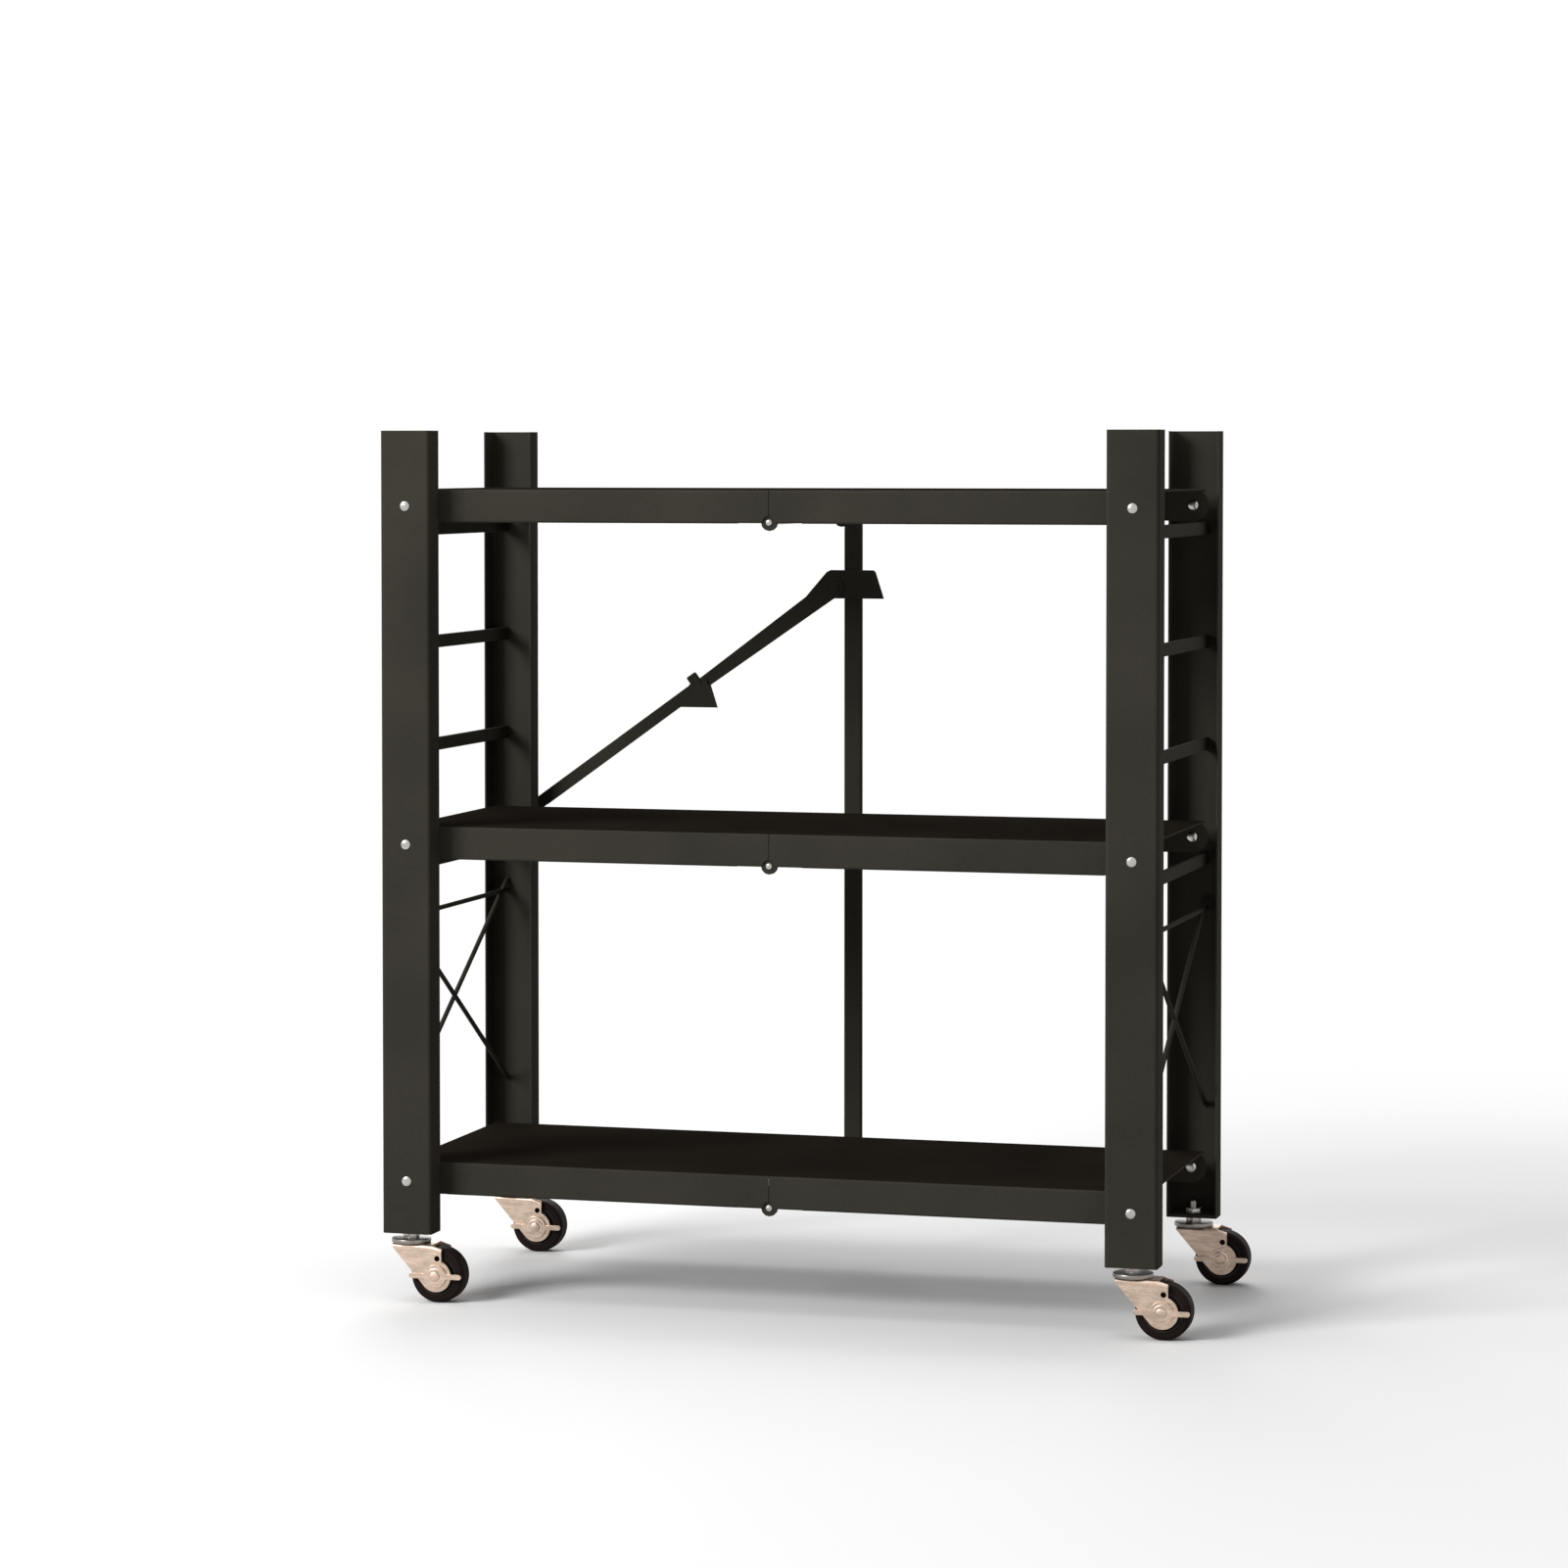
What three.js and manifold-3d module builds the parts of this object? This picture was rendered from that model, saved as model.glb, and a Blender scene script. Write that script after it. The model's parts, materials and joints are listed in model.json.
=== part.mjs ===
// A folding three-shelf bookcase on casters, in millimetres.
// X runs along the shelves, Y from front to back and Z up; the casters stand on Z = 0.
// Two upright side frames carry three shelves. Each shelf is two leaves hinged at the seam, and the
// seams rise together as the frames close, guided by an upright bar and a sliding stay at the back.
import * as THREE from "three";
import { mergeVertices } from "three/addons/utils/BufferGeometryUtils.js";
import Module from "manifold-3d";

const wasm = await Module();
wasm.setup();

// Whole rack
const rackWidth = 715; // over the outer sides of the posts
const rackDepth = 306; // over the front and back faces of the posts
const shelfPitch = 306; // from one shelf's pivots to the next
const rideHeight = 62; // from the floor to the posts' lower ends
const pivotRise = 48; // from the posts' lower ends to the bottom shelf's pivots
const postOverTop = 68; // from the top shelf's pivots to the posts' upper ends
const running = 0.3; // gap kept between pieces that touch or turn on each other
const fuse = 0.4; // how far joined features reach into each other
const overrun = 3; // how far a cut runs past what it cuts

// Posts: folded channels, open towards the shelves
const postWidth = 47;
const postFlange = 25;
const postSheet = 1.5;
const postBend = 3.5;
const footPlate = 3; // plate across the channel that takes the caster's stem

// Shelf leaves: folded pans
const leafRecess = 26; // from a post's face back to the leaf's flange
const leafHeight = 30;
const leafSheet = 1.2;
const leafBend = 2.5;
const leafLip = 8; // inward fold along a flange's lower edge
const lipSetback = 30; // from the pivots and from the hinge to the ends of the lips
const deckOverhang = 12; // of the deck beyond the pivots
const seamGap = 0.6;
const buttRise = 4; // from the hinge pin to the lower edge of the seam flange

// Seam hinges
const pinDrop = 14; // from the end pivots' height down to the hinge pin
const pinRadius = 2.1;
const pinHeadRadius = 3;
const pinHeadHeight = 1.6;
const pinCollarRadius = 5;
const knuckleRelief = 6; // radius cut from the leaves' corners round the pin
const lugRadius = 7.5; // round the pin
const lugTail = 20; // from the pin back along the leaf's own flange
const lugOverPin = 20;
const lugCorner = 6;
const lugSheet = 1.6;

// End pivots
const rivetRadius = 3;
const rivetHeadRadius = 4.6;
const rivetHeadHeight = 1.7;
const spacerRadius = 5;
const rivetTailRadius = 4.8;
const rivetTailHeight = 1.4;

// Side rails and brace wires
const railHeight = 12;
const railThickness = 4;
const railCorner = 1.2;
const railInset = 15; // from the posts' outer side to the middle of a rail
const crossRailDrop = 15.6; // from a shelf's pivots to the rail under it
const guardRailRises = [85, 180]; // above the middle shelf's pivots
const wireRadius = 2.2;
const tieWireDrop = 68; // below the middle shelf's pivots
const braceTopDrop = 57; // below the middle shelf's pivots
const braceFootRise = 55; // above the bottom shelf's pivots

// Bar and stay at the back
const barWidth = 17;
const barDepth = 6;
const barSheet = 1.5;
const barBend = 2.2;
const barEnd = 11; // beyond the top and bottom hinge pins
const stayWidth = 11.5;
const stayHeadWidth = 18; // of the upper stay round its stud
const staySheet = 2;
const layerGap = 0.4; // between the parts of the stay
const stayStandoff = 0.5; // from the post to the keeper
const stayEndClear = 28; // from the lower stay's pivot to the upper stay's free end
const keeperReach = 225; // from the lower stay's pivot to the middle of the keeper
const keeperLength = 9;
const keeperSheet = 1.2;
const keeperPlay = 6.2; // each side of the upper stay
const keeperCorner = 2;
const tabDrop = 20; // of the keeper's thumb tab under the keeper's middle
const tabTop = 2; // of the tab over the keeper's middle
const tabFootLead = 18; // of the tab's foot towards the post
const tabFootTrail = 20; // of the tab's foot towards the bar
const tabTopLead = 8;
const tabTopTrail = 13;
const studRadius = 2.5;
const studHeadRadius = 4.5;
const studHeadHeight = 1.6;
const bracketSheet = 2;
const bracketTopWidth = 46;
const bracketFootLead = 45; // from the bar's middle to the foot's end over the stay
const bracketFootTrail = 31; // from the bar's middle to the foot's other end
const bracketHeight = 27;
const bracketOverStud = 16;
const bracketCorner = 2;
const studOffset = 17; // from the bar's middle to the upper stay's pin
const studDrop = 65; // below the top hinge pin

// Casters
const wheelRadius = 25;
const wheelWidth = 20;
const treadCorner = 3.5;
const hubRadius = 9;
const hubWidth = 22;
const dishRadius = 18;
const dishDepth = 3;
const axleRadius = 3;
const axleHeadRadius = 4.5;
const axleHeadHeight = 1.3;
const trail = 28; // from the swivel axis back to the axle
const forkSheet = 2;
const forkBend = 3;
const forkGap = 24; // between the fork's cheeks
const bossRadius = 14.5;
const forkLead = 14; // of the fork's crown ahead of the swivel axis
const crownTail = 24; // of the fork's crown behind the swivel axis
const cheekTail = 33.5; // of the cheeks' upright trailing edge behind the swivel axis
const cheekTailDrop = 3; // from the crown to the cheeks' upper corner
const sightRadius = 2.6; // the hole through each cheek
const sightRise = 16; // over the axle
const sightTail = 1.5; // behind the axle
const leadDegrees = 215; // where the cheeks' leading edge meets the boss
const stemRadius = 4;
const stemRise = 15; // above the posts' lower ends
const nutFlats = 13;
const nutHeight = 4.5;
const raceRadius = 18;
const raceHeight = 4;
const raceRim = 1.2; // chamfer round the race
const kingpinHeadRadius = 6.5;
const kingpinHeadHeight = 2;
const leverSheet = 1.6;
const leverHubRadius = 10.4;
const leverCrestRadius = 7.4; // the step pressed out of the lever's hub
const leverCrestHeight = 0.5;
const leverReach = 25;
const leverHeight = 4.6;

// Fineness of the round forms
const roundSides = 20;
const smallSides = 12;
const hexSides = 6;
const cornerSteps = 3;
const endSteps = 8;
const weld = 1e-4;

// Places that several pieces share
const postX = rackWidth / 2 - postWidth / 2;
const rearFace = rackDepth / 2;
const panFace = rearFace - leafRecess; // outer face of the leaves' flanges, from the middle
const bottomPivotZ = rideHeight + pivotRise;
const topPivotZ = bottomPivotZ + 2 * shelfPitch;
const postTopZ = topPivotZ + postOverTop;
const levels = [
  { name: "bottom", z: bottomPivotZ },
  { name: "middle", z: bottomPivotZ + shelfPitch },
  { name: "top", z: topPivotZ },
];
const middlePivotZ = bottomPivotZ + shelfPitch;
const sides = [
  { name: "left", sign: -1 },
  { name: "right", sign: 1 },
];
const ends = [
  { name: "front", sign: -1 },
  { name: "rear", sign: 1 },
];
const lugFace = panFace - leafSheet - running; // outer face of the outer lugs
const buttInset = 2 * (lugSheet + running) + 2 * running; // the seam flange ends clear of both lugs
const lowerStayFront = rearFace + stayStandoff + keeperSheet + running;
const upperStayFront = lowerStayFront + staySheet + layerGap;
const bracketFront = upperStayFront + staySheet + layerGap;
const barFront = bracketFront + bracketSheet + running;
const barRear = barFront + barDepth;
const casterY = rearFace - postFlange / 2;
const axleFront = forkGap / 2 + forkSheet + 2 * running + leverSheet + leverCrestHeight;
const frontmost = casterY + Math.max(raceRadius, axleFront + axleHeadHeight);
const casterReach = postX + trail + wheelRadius;

// Finishes
const finish = (color, roughness, metalness) =>
  new THREE.MeshStandardMaterial({ color, roughness, metalness });
const blackCoat = () => finish(0x34312d, 0.55, 0.25);
const brightZinc = () => finish(0xd6d4cf, 0.3, 0.95);
const warmNickel = () => finish(0xd8c6b4, 0.38, 0.85);
const stemSteel = () => finish(0x8f8a83, 0.4, 0.9);
const blackRubber = () => finish(0x1d1a18, 0.7, 0);

// Solids and meshes

function solidOf(geometry) {
  const bare = geometry.index ? geometry.toNonIndexed() : geometry.clone();
  bare.deleteAttribute("normal");
  bare.deleteAttribute("uv");
  const merged = mergeVertices(bare, weld);
  return new wasm.Manifold(
    new wasm.Mesh({
      numProp: 3,
      vertProperties: merged.attributes.position.array,
      triVerts: new Uint32Array(merged.index.array),
    }),
  );
}

function geometryOf(solid) {
  const made = solid.getMesh();
  const geometry = new THREE.BufferGeometry();
  geometry.setAttribute("position", new THREE.BufferAttribute(made.vertProperties, 3));
  geometry.setIndex(new THREE.BufferAttribute(made.triVerts, 1));
  const flat = geometry.toNonIndexed();
  flat.computeVertexNormals();
  return flat;
}

const joined = (...geometries) =>
  geometries.map(solidOf).reduce((whole, next) => whole.add(next));

const cutBy = (solid, ...geometries) =>
  geometries.map(solidOf).reduce((left, next) => left.subtract(next), solid);

const commonTo = (...geometries) =>
  geometries.map(solidOf).reduce((whole, next) => whole.intersect(next));

function meshOf(name, geometry, material) {
  const mesh = new THREE.Mesh(geometry, material);
  mesh.name = name;
  return mesh;
}

function groupAt(x, y, z, ...children) {
  const group = new THREE.Group();
  group.position.set(x, y, z);
  if (children.length) group.add(...children);
  return group;
}

// Extrusions along the three axes, from 0 to length

const alongZ = (shape, length) =>
  new THREE.ExtrudeGeometry(shape, {
    depth: length,
    bevelEnabled: false,
  });

// The shape's x and y become X and Z.
const alongY = (shape, length) =>
  alongZ(shape, length)
    .rotateX(Math.PI / 2)
    .translate(0, length, 0);

// The shape's x and y become Y and Z.
function alongX(shape, length) {
  const turn = new THREE.Matrix4().makeBasis(
    new THREE.Vector3(0, 1, 0),
    new THREE.Vector3(0, 0, 1),
    new THREE.Vector3(1, 0, 0),
  );
  return alongZ(shape, length).applyMatrix4(turn);
}

function block(x0, x1, y0, y1, z0, z1) {
  return new THREE.BoxGeometry(x1 - x0, y1 - y0, z1 - z0).translate(
    (x0 + x1) / 2,
    (y0 + y1) / 2,
    (z0 + z1) / 2,
  );
}

// A round bar along Y or Z, from one end to the other
const rodY = (radius, y0, y1, facets = smallSides) =>
  new THREE.CylinderGeometry(radius, radius, y1 - y0, facets).translate(0, (y0 + y1) / 2, 0);

const rodZ = (radius, z0, z1, facets = smallSides) =>
  rodY(radius, z0, z1, facets).rotateX(Math.PI / 2);

// Outlines

const turn = (share) => 2 * Math.PI * share;

// Points round a centre, from one share of a turn to another
const arcPoints = (x, y, radius, fromShare, toShare, steps) =>
  Array.from({ length: steps + 1 }, (_, i) => {
    const angle = turn(fromShare + ((toShare - fromShare) * i) / steps);
    return new THREE.Vector2(x + radius * Math.cos(angle), y + radius * Math.sin(angle));
  });

const rectangle = (x0, x1, y0, y1, corner) =>
  new THREE.Shape([
    ...arcPoints(x1 - corner, y0 + corner, corner, -1 / 4, 0, cornerSteps),
    ...arcPoints(x1 - corner, y1 - corner, corner, 0, 1 / 4, cornerSteps),
    ...arcPoints(x0 + corner, y1 - corner, corner, 1 / 4, 1 / 2, cornerSteps),
    ...arcPoints(x0 + corner, y0 + corner, corner, 1 / 2, 3 / 4, cornerSteps),
  ]);

const disc = (x, y, radius, steps = smallSides) =>
  new THREE.Shape(arcPoints(x, y, radius, 0, 1 - 1 / steps, steps - 1));

const roundHole = (x, y, radius) =>
  new THREE.Path(arcPoints(x, y, radius, 0, 1 / smallSides - 1, smallSides - 1));

// A level strip with half-round ends
const stripShape = (from, to, width) =>
  new THREE.Shape([
    ...arcPoints(to, 0, width / 2, -1 / 4, 1 / 4, endSteps),
    ...arcPoints(from, 0, width / 2, 1 / 4, 3 / 4, endSteps),
  ]);

// The section of a sheet folded along a path of outer corners that all turn left.
function foldedSection(path, sheet, bend) {
  const outer = [path[0]];
  const inner = [];
  const headings = path.slice(1).map((p, i) => p.clone().sub(path[i]).normalize());
  const leftOf = (heading) => new THREE.Vector2(-heading.y, heading.x);
  inner.push(path[0].clone().addScaledVector(leftOf(headings[0]), sheet));
  for (let i = 1; i < path.length - 1; i += 1) {
    const into = headings[i - 1];
    const bendAngle = Math.acos(into.dot(headings[i]));
    const start = path[i].clone().addScaledVector(into, -bend * Math.tan(bendAngle / 2));
    const centre = start.clone().addScaledVector(leftOf(into), bend);
    const first = Math.atan2(start.y - centre.y, start.x - centre.x);
    for (let step = 0; step <= cornerSteps; step += 1) {
      const angle = first + (bendAngle * step) / cornerSteps;
      const ray = new THREE.Vector2(Math.cos(angle), Math.sin(angle));
      outer.push(centre.clone().addScaledVector(ray, bend));
      inner.push(centre.clone().addScaledVector(ray, bend - sheet));
    }
  }
  const last = path[path.length - 1];
  outer.push(last);
  inner.push(last.clone().addScaledVector(leftOf(headings[headings.length - 1]), sheet));
  return new THREE.Shape([...outer, ...inner.reverse()]);
}

const channelPath = (width, depth) => [
  new THREE.Vector2(-width / 2, depth),
  new THREE.Vector2(-width / 2, 0),
  new THREE.Vector2(width / 2, 0),
  new THREE.Vector2(width / 2, depth),
];

// A turned form about Y from pairs of radius and height, listed from low to high.
const turned = (pairs, facets = roundSides) =>
  new THREE.LatheGeometry(
    pairs.map(([r, h]) => new THREE.Vector2(r, h)),
    facets,
  );

// Side frames

// A post stands at the origin with its face on y = 0 and opens towards +y.
function postGeometry() {
  const section = foldedSection(channelPath(postWidth, postFlange), postSheet, postBend);
  const height = postTopZ - rideHeight;
  const foot = block(
    -postWidth / 2 + postSheet - fuse,
    postWidth / 2 - postSheet + fuse,
    postSheet - fuse,
    postFlange,
    0,
    footPlate,
  );
  const holes = levels.map(({ z }) =>
    rodY(rivetRadius + running, -overrun, postBend + overrun).translate(0, 0, z - rideHeight),
  );
  const stemHole = rodZ(stemRadius + running, -overrun, footPlate + overrun).translate(
    0,
    postFlange / 2,
    0,
  );
  return geometryOf(cutBy(joined(alongZ(section, height), foot), ...holes, stemHole));
}

// A flat rail between the webs of the front and rear posts, its lower edge on z = 0.
function railGeometry() {
  const reach = rearFace - postSheet - running;
  const section = rectangle(-railThickness / 2, railThickness / 2, 0, railHeight, railCorner);
  return alongY(section, 2 * reach).translate(0, -reach, 0);
}

// A straight wire in the plane x = 0 that runs a little past y = -reach and y = reach.
function wireGeometry(reach, zFront, zRear) {
  const past = (overrun * (zRear - zFront)) / (2 * reach);
  const run = new THREE.LineCurve3(
    new THREE.Vector3(0, -reach - overrun, zFront - past),
    new THREE.Vector3(0, reach + overrun, zRear + past),
  );
  return new THREE.ExtrudeGeometry(disc(0, 0, wireRadius), { steps: 1, extrudePath: run });
}

// The welded wires of a frame's lower half, cut square at the posts: a level tie and a crossed brace.
function braceGeometry() {
  const reach = rearFace - postSheet - running;
  const top = middlePivotZ - braceTopDrop;
  const foot = bottomPivotZ + braceFootRise;
  const tie = middlePivotZ - tieWireDrop;
  const wires = joined(
    wireGeometry(reach, tie, tie),
    wireGeometry(reach, top, foot),
    wireGeometry(reach, foot, top),
  );
  const between = block(-wireRadius, wireRadius, -reach, reach, rideHeight, postTopZ);
  return geometryOf(wires.intersect(solidOf(between)));
}

function sideFrame({ name, sign }) {
  const frame = groupAt(sign * postX, 0, 0);
  const railX = sign * (postWidth / 2 - railInset);
  for (const end of ends) {
    const post = meshOf(`post_${end.name}_${name}`, postGeometry(), blackCoat());
    post.rotation.z = end.sign > 0 ? Math.PI : 0;
    post.position.set(0, end.sign * rearFace, rideHeight);
    frame.add(post);
  }
  for (const { name: level, z } of levels.slice(1)) {
    const rail = meshOf(`cross_rail_${level}_${name}`, railGeometry(), blackCoat());
    rail.position.set(railX, 0, z - crossRailDrop - railHeight);
    frame.add(rail);
  }
  guardRailRises.forEach((rise, i) => {
    const rail = meshOf(`guard_rail_${i + 1}_${name}`, railGeometry(), blackCoat());
    rail.position.set(railX, 0, middlePivotZ + rise - railHeight / 2);
    frame.add(rail);
  });
  const brace = meshOf(`brace_wires_${name}`, braceGeometry(), blackCoat());
  brace.position.x = railX;
  frame.add(brace);
  return frame;
}

// Shelves

// A leaf lies with its end pivot at the origin and its hinge pin at x = leafReach.
const leafReach = postX;

// The flange's rounded end, which turns behind the post and stops under the deck's bend.
function flangeEndShape() {
  const half = leafHeight / 2;
  const riseShare = Math.asin((half - leafBend) / half) / (2 * Math.PI);
  return new THREE.Shape(arcPoints(0, 0, half, 1 / 2 - riseShare, 1 + riseShare, smallSides));
}

function panPath() {
  const half = leafHeight / 2;
  return [
    new THREE.Vector2(panFace - leafLip, -half),
    new THREE.Vector2(panFace, -half),
    new THREE.Vector2(panFace, half),
    new THREE.Vector2(-panFace, half),
    new THREE.Vector2(-panFace, -half),
    new THREE.Vector2(-panFace + leafLip, -half),
  ];
}

// The hinge lug, round under the pin, and the pad that carries it on the leaf's own flange.
function lugGeometries(front, padFront, padRear) {
  const pinZ = -pinDrop;
  const tail = leafReach - lugTail;
  const bendZ = pinZ + lugOverPin - lugCorner;
  const outline = new THREE.Shape([
    ...arcPoints(leafReach, pinZ, lugRadius, 1 / 2, 1, smallSides / 2),
    ...arcPoints(leafReach + lugRadius - lugCorner, bendZ, lugCorner, 0, 1 / 4, cornerSteps),
    ...arcPoints(tail + lugCorner, bendZ, lugCorner, 1 / 4, 1 / 2, cornerSteps),
    new THREE.Vector2(tail, pinZ),
  ]);
  const pad = block(
    tail,
    leafReach - lugRadius - 2 * running,
    padFront,
    padRear,
    -leafHeight / 2 + leafBend,
    bendZ,
  );
  return [alongY(outline, lugSheet).translate(0, front, 0), pad];
}

// The lugs lie inside the flanges, the right leaves' next to them and the left leaves' under those.
function lugLayer(under) {
  const rear = under ? lugFace - lugSheet - running : lugFace;
  return { front: rear - lugSheet, padFront: rear - fuse, padRear: lugFace + running + fuse };
}

function leafGeometry(underLugs) {
  const half = leafHeight / 2;
  const seam = leafReach - seamGap / 2;
  const pan = alongX(foldedSection(panPath(), leafSheet, leafBend), seam + deckOverhang);
  const { front, padFront, padRear } = lugLayer(underLugs);
  const lugs = lugGeometries(front, padFront, padRear);
  const mirrored = lugGeometries(-front - lugSheet, -padRear, -padFront);
  const flangeEnd = alongY(flangeEndShape(), leafSheet);
  const butt = block(
    seam - leafSheet,
    seam,
    -panFace + leafSheet + buttInset,
    panFace - leafSheet - buttInset,
    -pinDrop + buttRise,
    half - leafSheet + fuse,
  );
  const endTrim = block(-deckOverhang - overrun, 0, -rearFace, rearFace, -half - overrun, half - leafBend);
  const innerFace = panFace - leafSheet;
  const lipTrims = [
    [-overrun, lipSetback],
    [seam - lipSetback, seam + overrun],
  ].map(([x0, x1]) => block(x0, x1, -innerFace, innerFace, -half - overrun, -half + leafBend));
  const body = cutBy(solidOf(pan.translate(-deckOverhang, 0, 0)), endTrim, ...lipTrims)
    .add(
      joined(
        flangeEnd.clone().translate(0, panFace - leafSheet, 0),
        ...[butt, ...lugs],
      ),
    )
    .add(joined(flangeEnd.clone().translate(0, -panFace, 0), ...mirrored));
  const relief = [-1, 1].map((sign) =>
    rodY(knuckleRelief, -leafSheet - running / 2, running / 2)
      .rotateZ(sign > 0 ? 0 : Math.PI)
      .translate(leafReach, sign * panFace, -pinDrop),
  );
  const pinHole = rodY(pinRadius + running, -rearFace, rearFace).translate(leafReach, 0, -pinDrop);
  const rivetHole = rodY(rivetRadius + running, -rearFace, rearFace);
  return geometryOf(cutBy(body, ...relief, pinHole, rivetHole));
}

// The pin through a seam hinge, which also carries the bar at the back.
function hingePinGeometry() {
  const head = -lugFace - running;
  const collarFront = lugFace + running;
  const collarRear = barFront - running;
  const tail = barFront + barSheet + running;
  return turned(
    [
      [0, head - pinHeadHeight],
      [pinHeadRadius / 2, head - pinHeadHeight],
      [pinHeadRadius, head - pinHeadHeight / 2],
      [pinHeadRadius, head],
      [pinRadius, head],
      [pinRadius, collarFront],
      [pinCollarRadius, collarFront],
      [pinCollarRadius, collarRear],
      [pinRadius, collarRear],
      [pinRadius, tail],
      [pinHeadRadius, tail],
      [pinHeadRadius, tail + pinHeadHeight],
      [0, tail + pinHeadHeight],
    ],
    smallSides,
  );
}

// An end pivot, with the post's face on y = 0 and the leaf towards +y. The head stands off by
// what it holds outside the post.
function rivetGeometry(held) {
  const head = -held;
  const spacerFront = postSheet + running;
  const spacerRear = leafRecess - running;
  const tail = leafRecess + leafSheet + running;
  const washer = held
    ? [
        [rivetRadius, head],
        [rivetRadius, head + staySheet + 2 * running],
        [spacerRadius, head + staySheet + 2 * running],
        [spacerRadius, -running],
        [rivetRadius, -running],
      ]
    : [[rivetRadius, head]];
  return turned(
    [
      [0, head - rivetHeadHeight],
      [rivetHeadRadius / 2, head - rivetHeadHeight],
      [rivetHeadRadius, head - rivetHeadHeight / 2],
      [rivetHeadRadius, head],
      ...washer,
      [rivetRadius, spacerFront],
      [spacerRadius, spacerFront],
      [spacerRadius, spacerRear],
      [rivetRadius, spacerRear],
      [rivetRadius, tail],
      [rivetTailRadius, tail],
      [rivetTailRadius, tail + rivetTailHeight],
      [0, tail + rivetTailHeight],
    ],
    smallSides,
  );
}

function shelf({ name, z }) {
  const made = groupAt(0, 0, z);
  for (const side of sides) {
    const leaf = meshOf(`leaf_${name}_${side.name}`, leafGeometry(side.sign < 0), blackCoat());
    leaf.position.x = side.sign * postX;
    leaf.rotation.z = side.sign > 0 ? Math.PI : 0;
    made.add(leaf);
    for (const end of ends) {
      const holdsStay = name === "middle" && side.name === "left" && end.name === "rear";
      const held = holdsStay ? lowerStayFront - rearFace + staySheet + running : 0;
      const rivet = meshOf(
        `pivot_${name}_${end.name}_${side.name}`,
        rivetGeometry(held),
        brightZinc(),
      );
      rivet.position.set(side.sign * postX, end.sign * rearFace, 0);
      rivet.rotation.z = end.sign > 0 ? Math.PI : 0;
      made.add(rivet);
    }
  }
  const pin = meshOf(`hinge_pin_${name}`, hingePinGeometry(), brightZinc());
  pin.position.z = -pinDrop;
  made.add(pin);
  return made;
}

// Bar and sliding stay

function barGeometry() {
  const lower = bottomPivotZ - pinDrop - barEnd;
  const height = 2 * shelfPitch + 2 * barEnd;
  const section = foldedSection(channelPath(barWidth, barDepth), barSheet, barBend);
  const holes = levels.map(({ z }) =>
    rodY(pinRadius + running, -overrun, barSheet + overrun).translate(0, 0, z - pinDrop - lower),
  );
  return geometryOf(cutBy(solidOf(alongZ(section, height)), ...holes)).translate(0, 0, lower);
}

// The stay runs from the rear left post's middle pivot to the bracket on the bar.
const staySpan = new THREE.Vector2(postX - studOffset, shelfPitch - pinDrop - studDrop);
const stayAngle = staySpan.angle();

function bracketGeometry() {
  const top = bracketOverStud;
  const foot = bracketOverStud - bracketHeight;
  const shape = new THREE.Shape();
  const middle = studOffset;
  shape.moveTo(middle - bracketFootLead + bracketCorner, foot);
  shape.lineTo(middle + bracketFootTrail, foot);
  shape.lineTo(middle + bracketTopWidth / 2, top - bracketCorner);
  shape.lineTo(middle + bracketTopWidth / 2 - bracketCorner, top);
  shape.lineTo(middle - bracketTopWidth / 2 + bracketCorner, top);
  shape.lineTo(middle - bracketTopWidth / 2 - bracketCorner, top - bracketCorner);
  shape.lineTo(middle - bracketFootLead, foot + bracketCorner);
  const studFront = upperStayFront - running;
  const plate = alongY(shape, bracketSheet).translate(0, bracketFront, 0);
  const stud = rodY(studRadius, studFront - fuse, bracketFront + fuse);
  const head = rodY(studHeadRadius, studFront - studHeadHeight, studFront);
  return geometryOf(joined(plate, stud, head));
}

// The upper stay widens from the keeper's place at rest to its stud.
function upperStayGeometry() {
  const tip = stayEndClear - staySpan.length();
  const taperEnd = keeperReach + keeperLength - staySpan.length();
  const shape = new THREE.Shape([
    ...arcPoints(0, 0, stayHeadWidth / 2, -1 / 4, 1 / 4, endSteps),
    new THREE.Vector2(taperEnd, stayWidth / 2),
    ...arcPoints(tip + stayWidth / 2, 0, stayWidth / 2, 1 / 4, 3 / 4, endSteps),
    new THREE.Vector2(taperEnd, -stayWidth / 2),
  ]);
  shape.holes.push(roundHole(0, 0, studRadius + running));
  return alongY(shape, staySheet).translate(0, upperStayFront, 0);
}

function lowerStayGeometry() {
  const shape = stripShape(0, keeperReach + keeperLength / 2, stayWidth);
  shape.holes.push(roundHole(0, 0, rivetRadius + running));
  shape.holes.push(roundHole(keeperReach, 0, studRadius + running));
  return alongY(shape, staySheet).translate(0, lowerStayFront, 0);
}

// The keeper's thumb tab as it hangs at rest, with the keeper's middle at the origin
const tabShape = () =>
  new THREE.Shape([
    new THREE.Vector2(-tabFootLead, -tabDrop),
    new THREE.Vector2(tabFootTrail, -tabDrop),
    new THREE.Vector2(tabTopTrail, tabTop),
    new THREE.Vector2(-tabTopLead, tabTop),
  ]);

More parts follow.
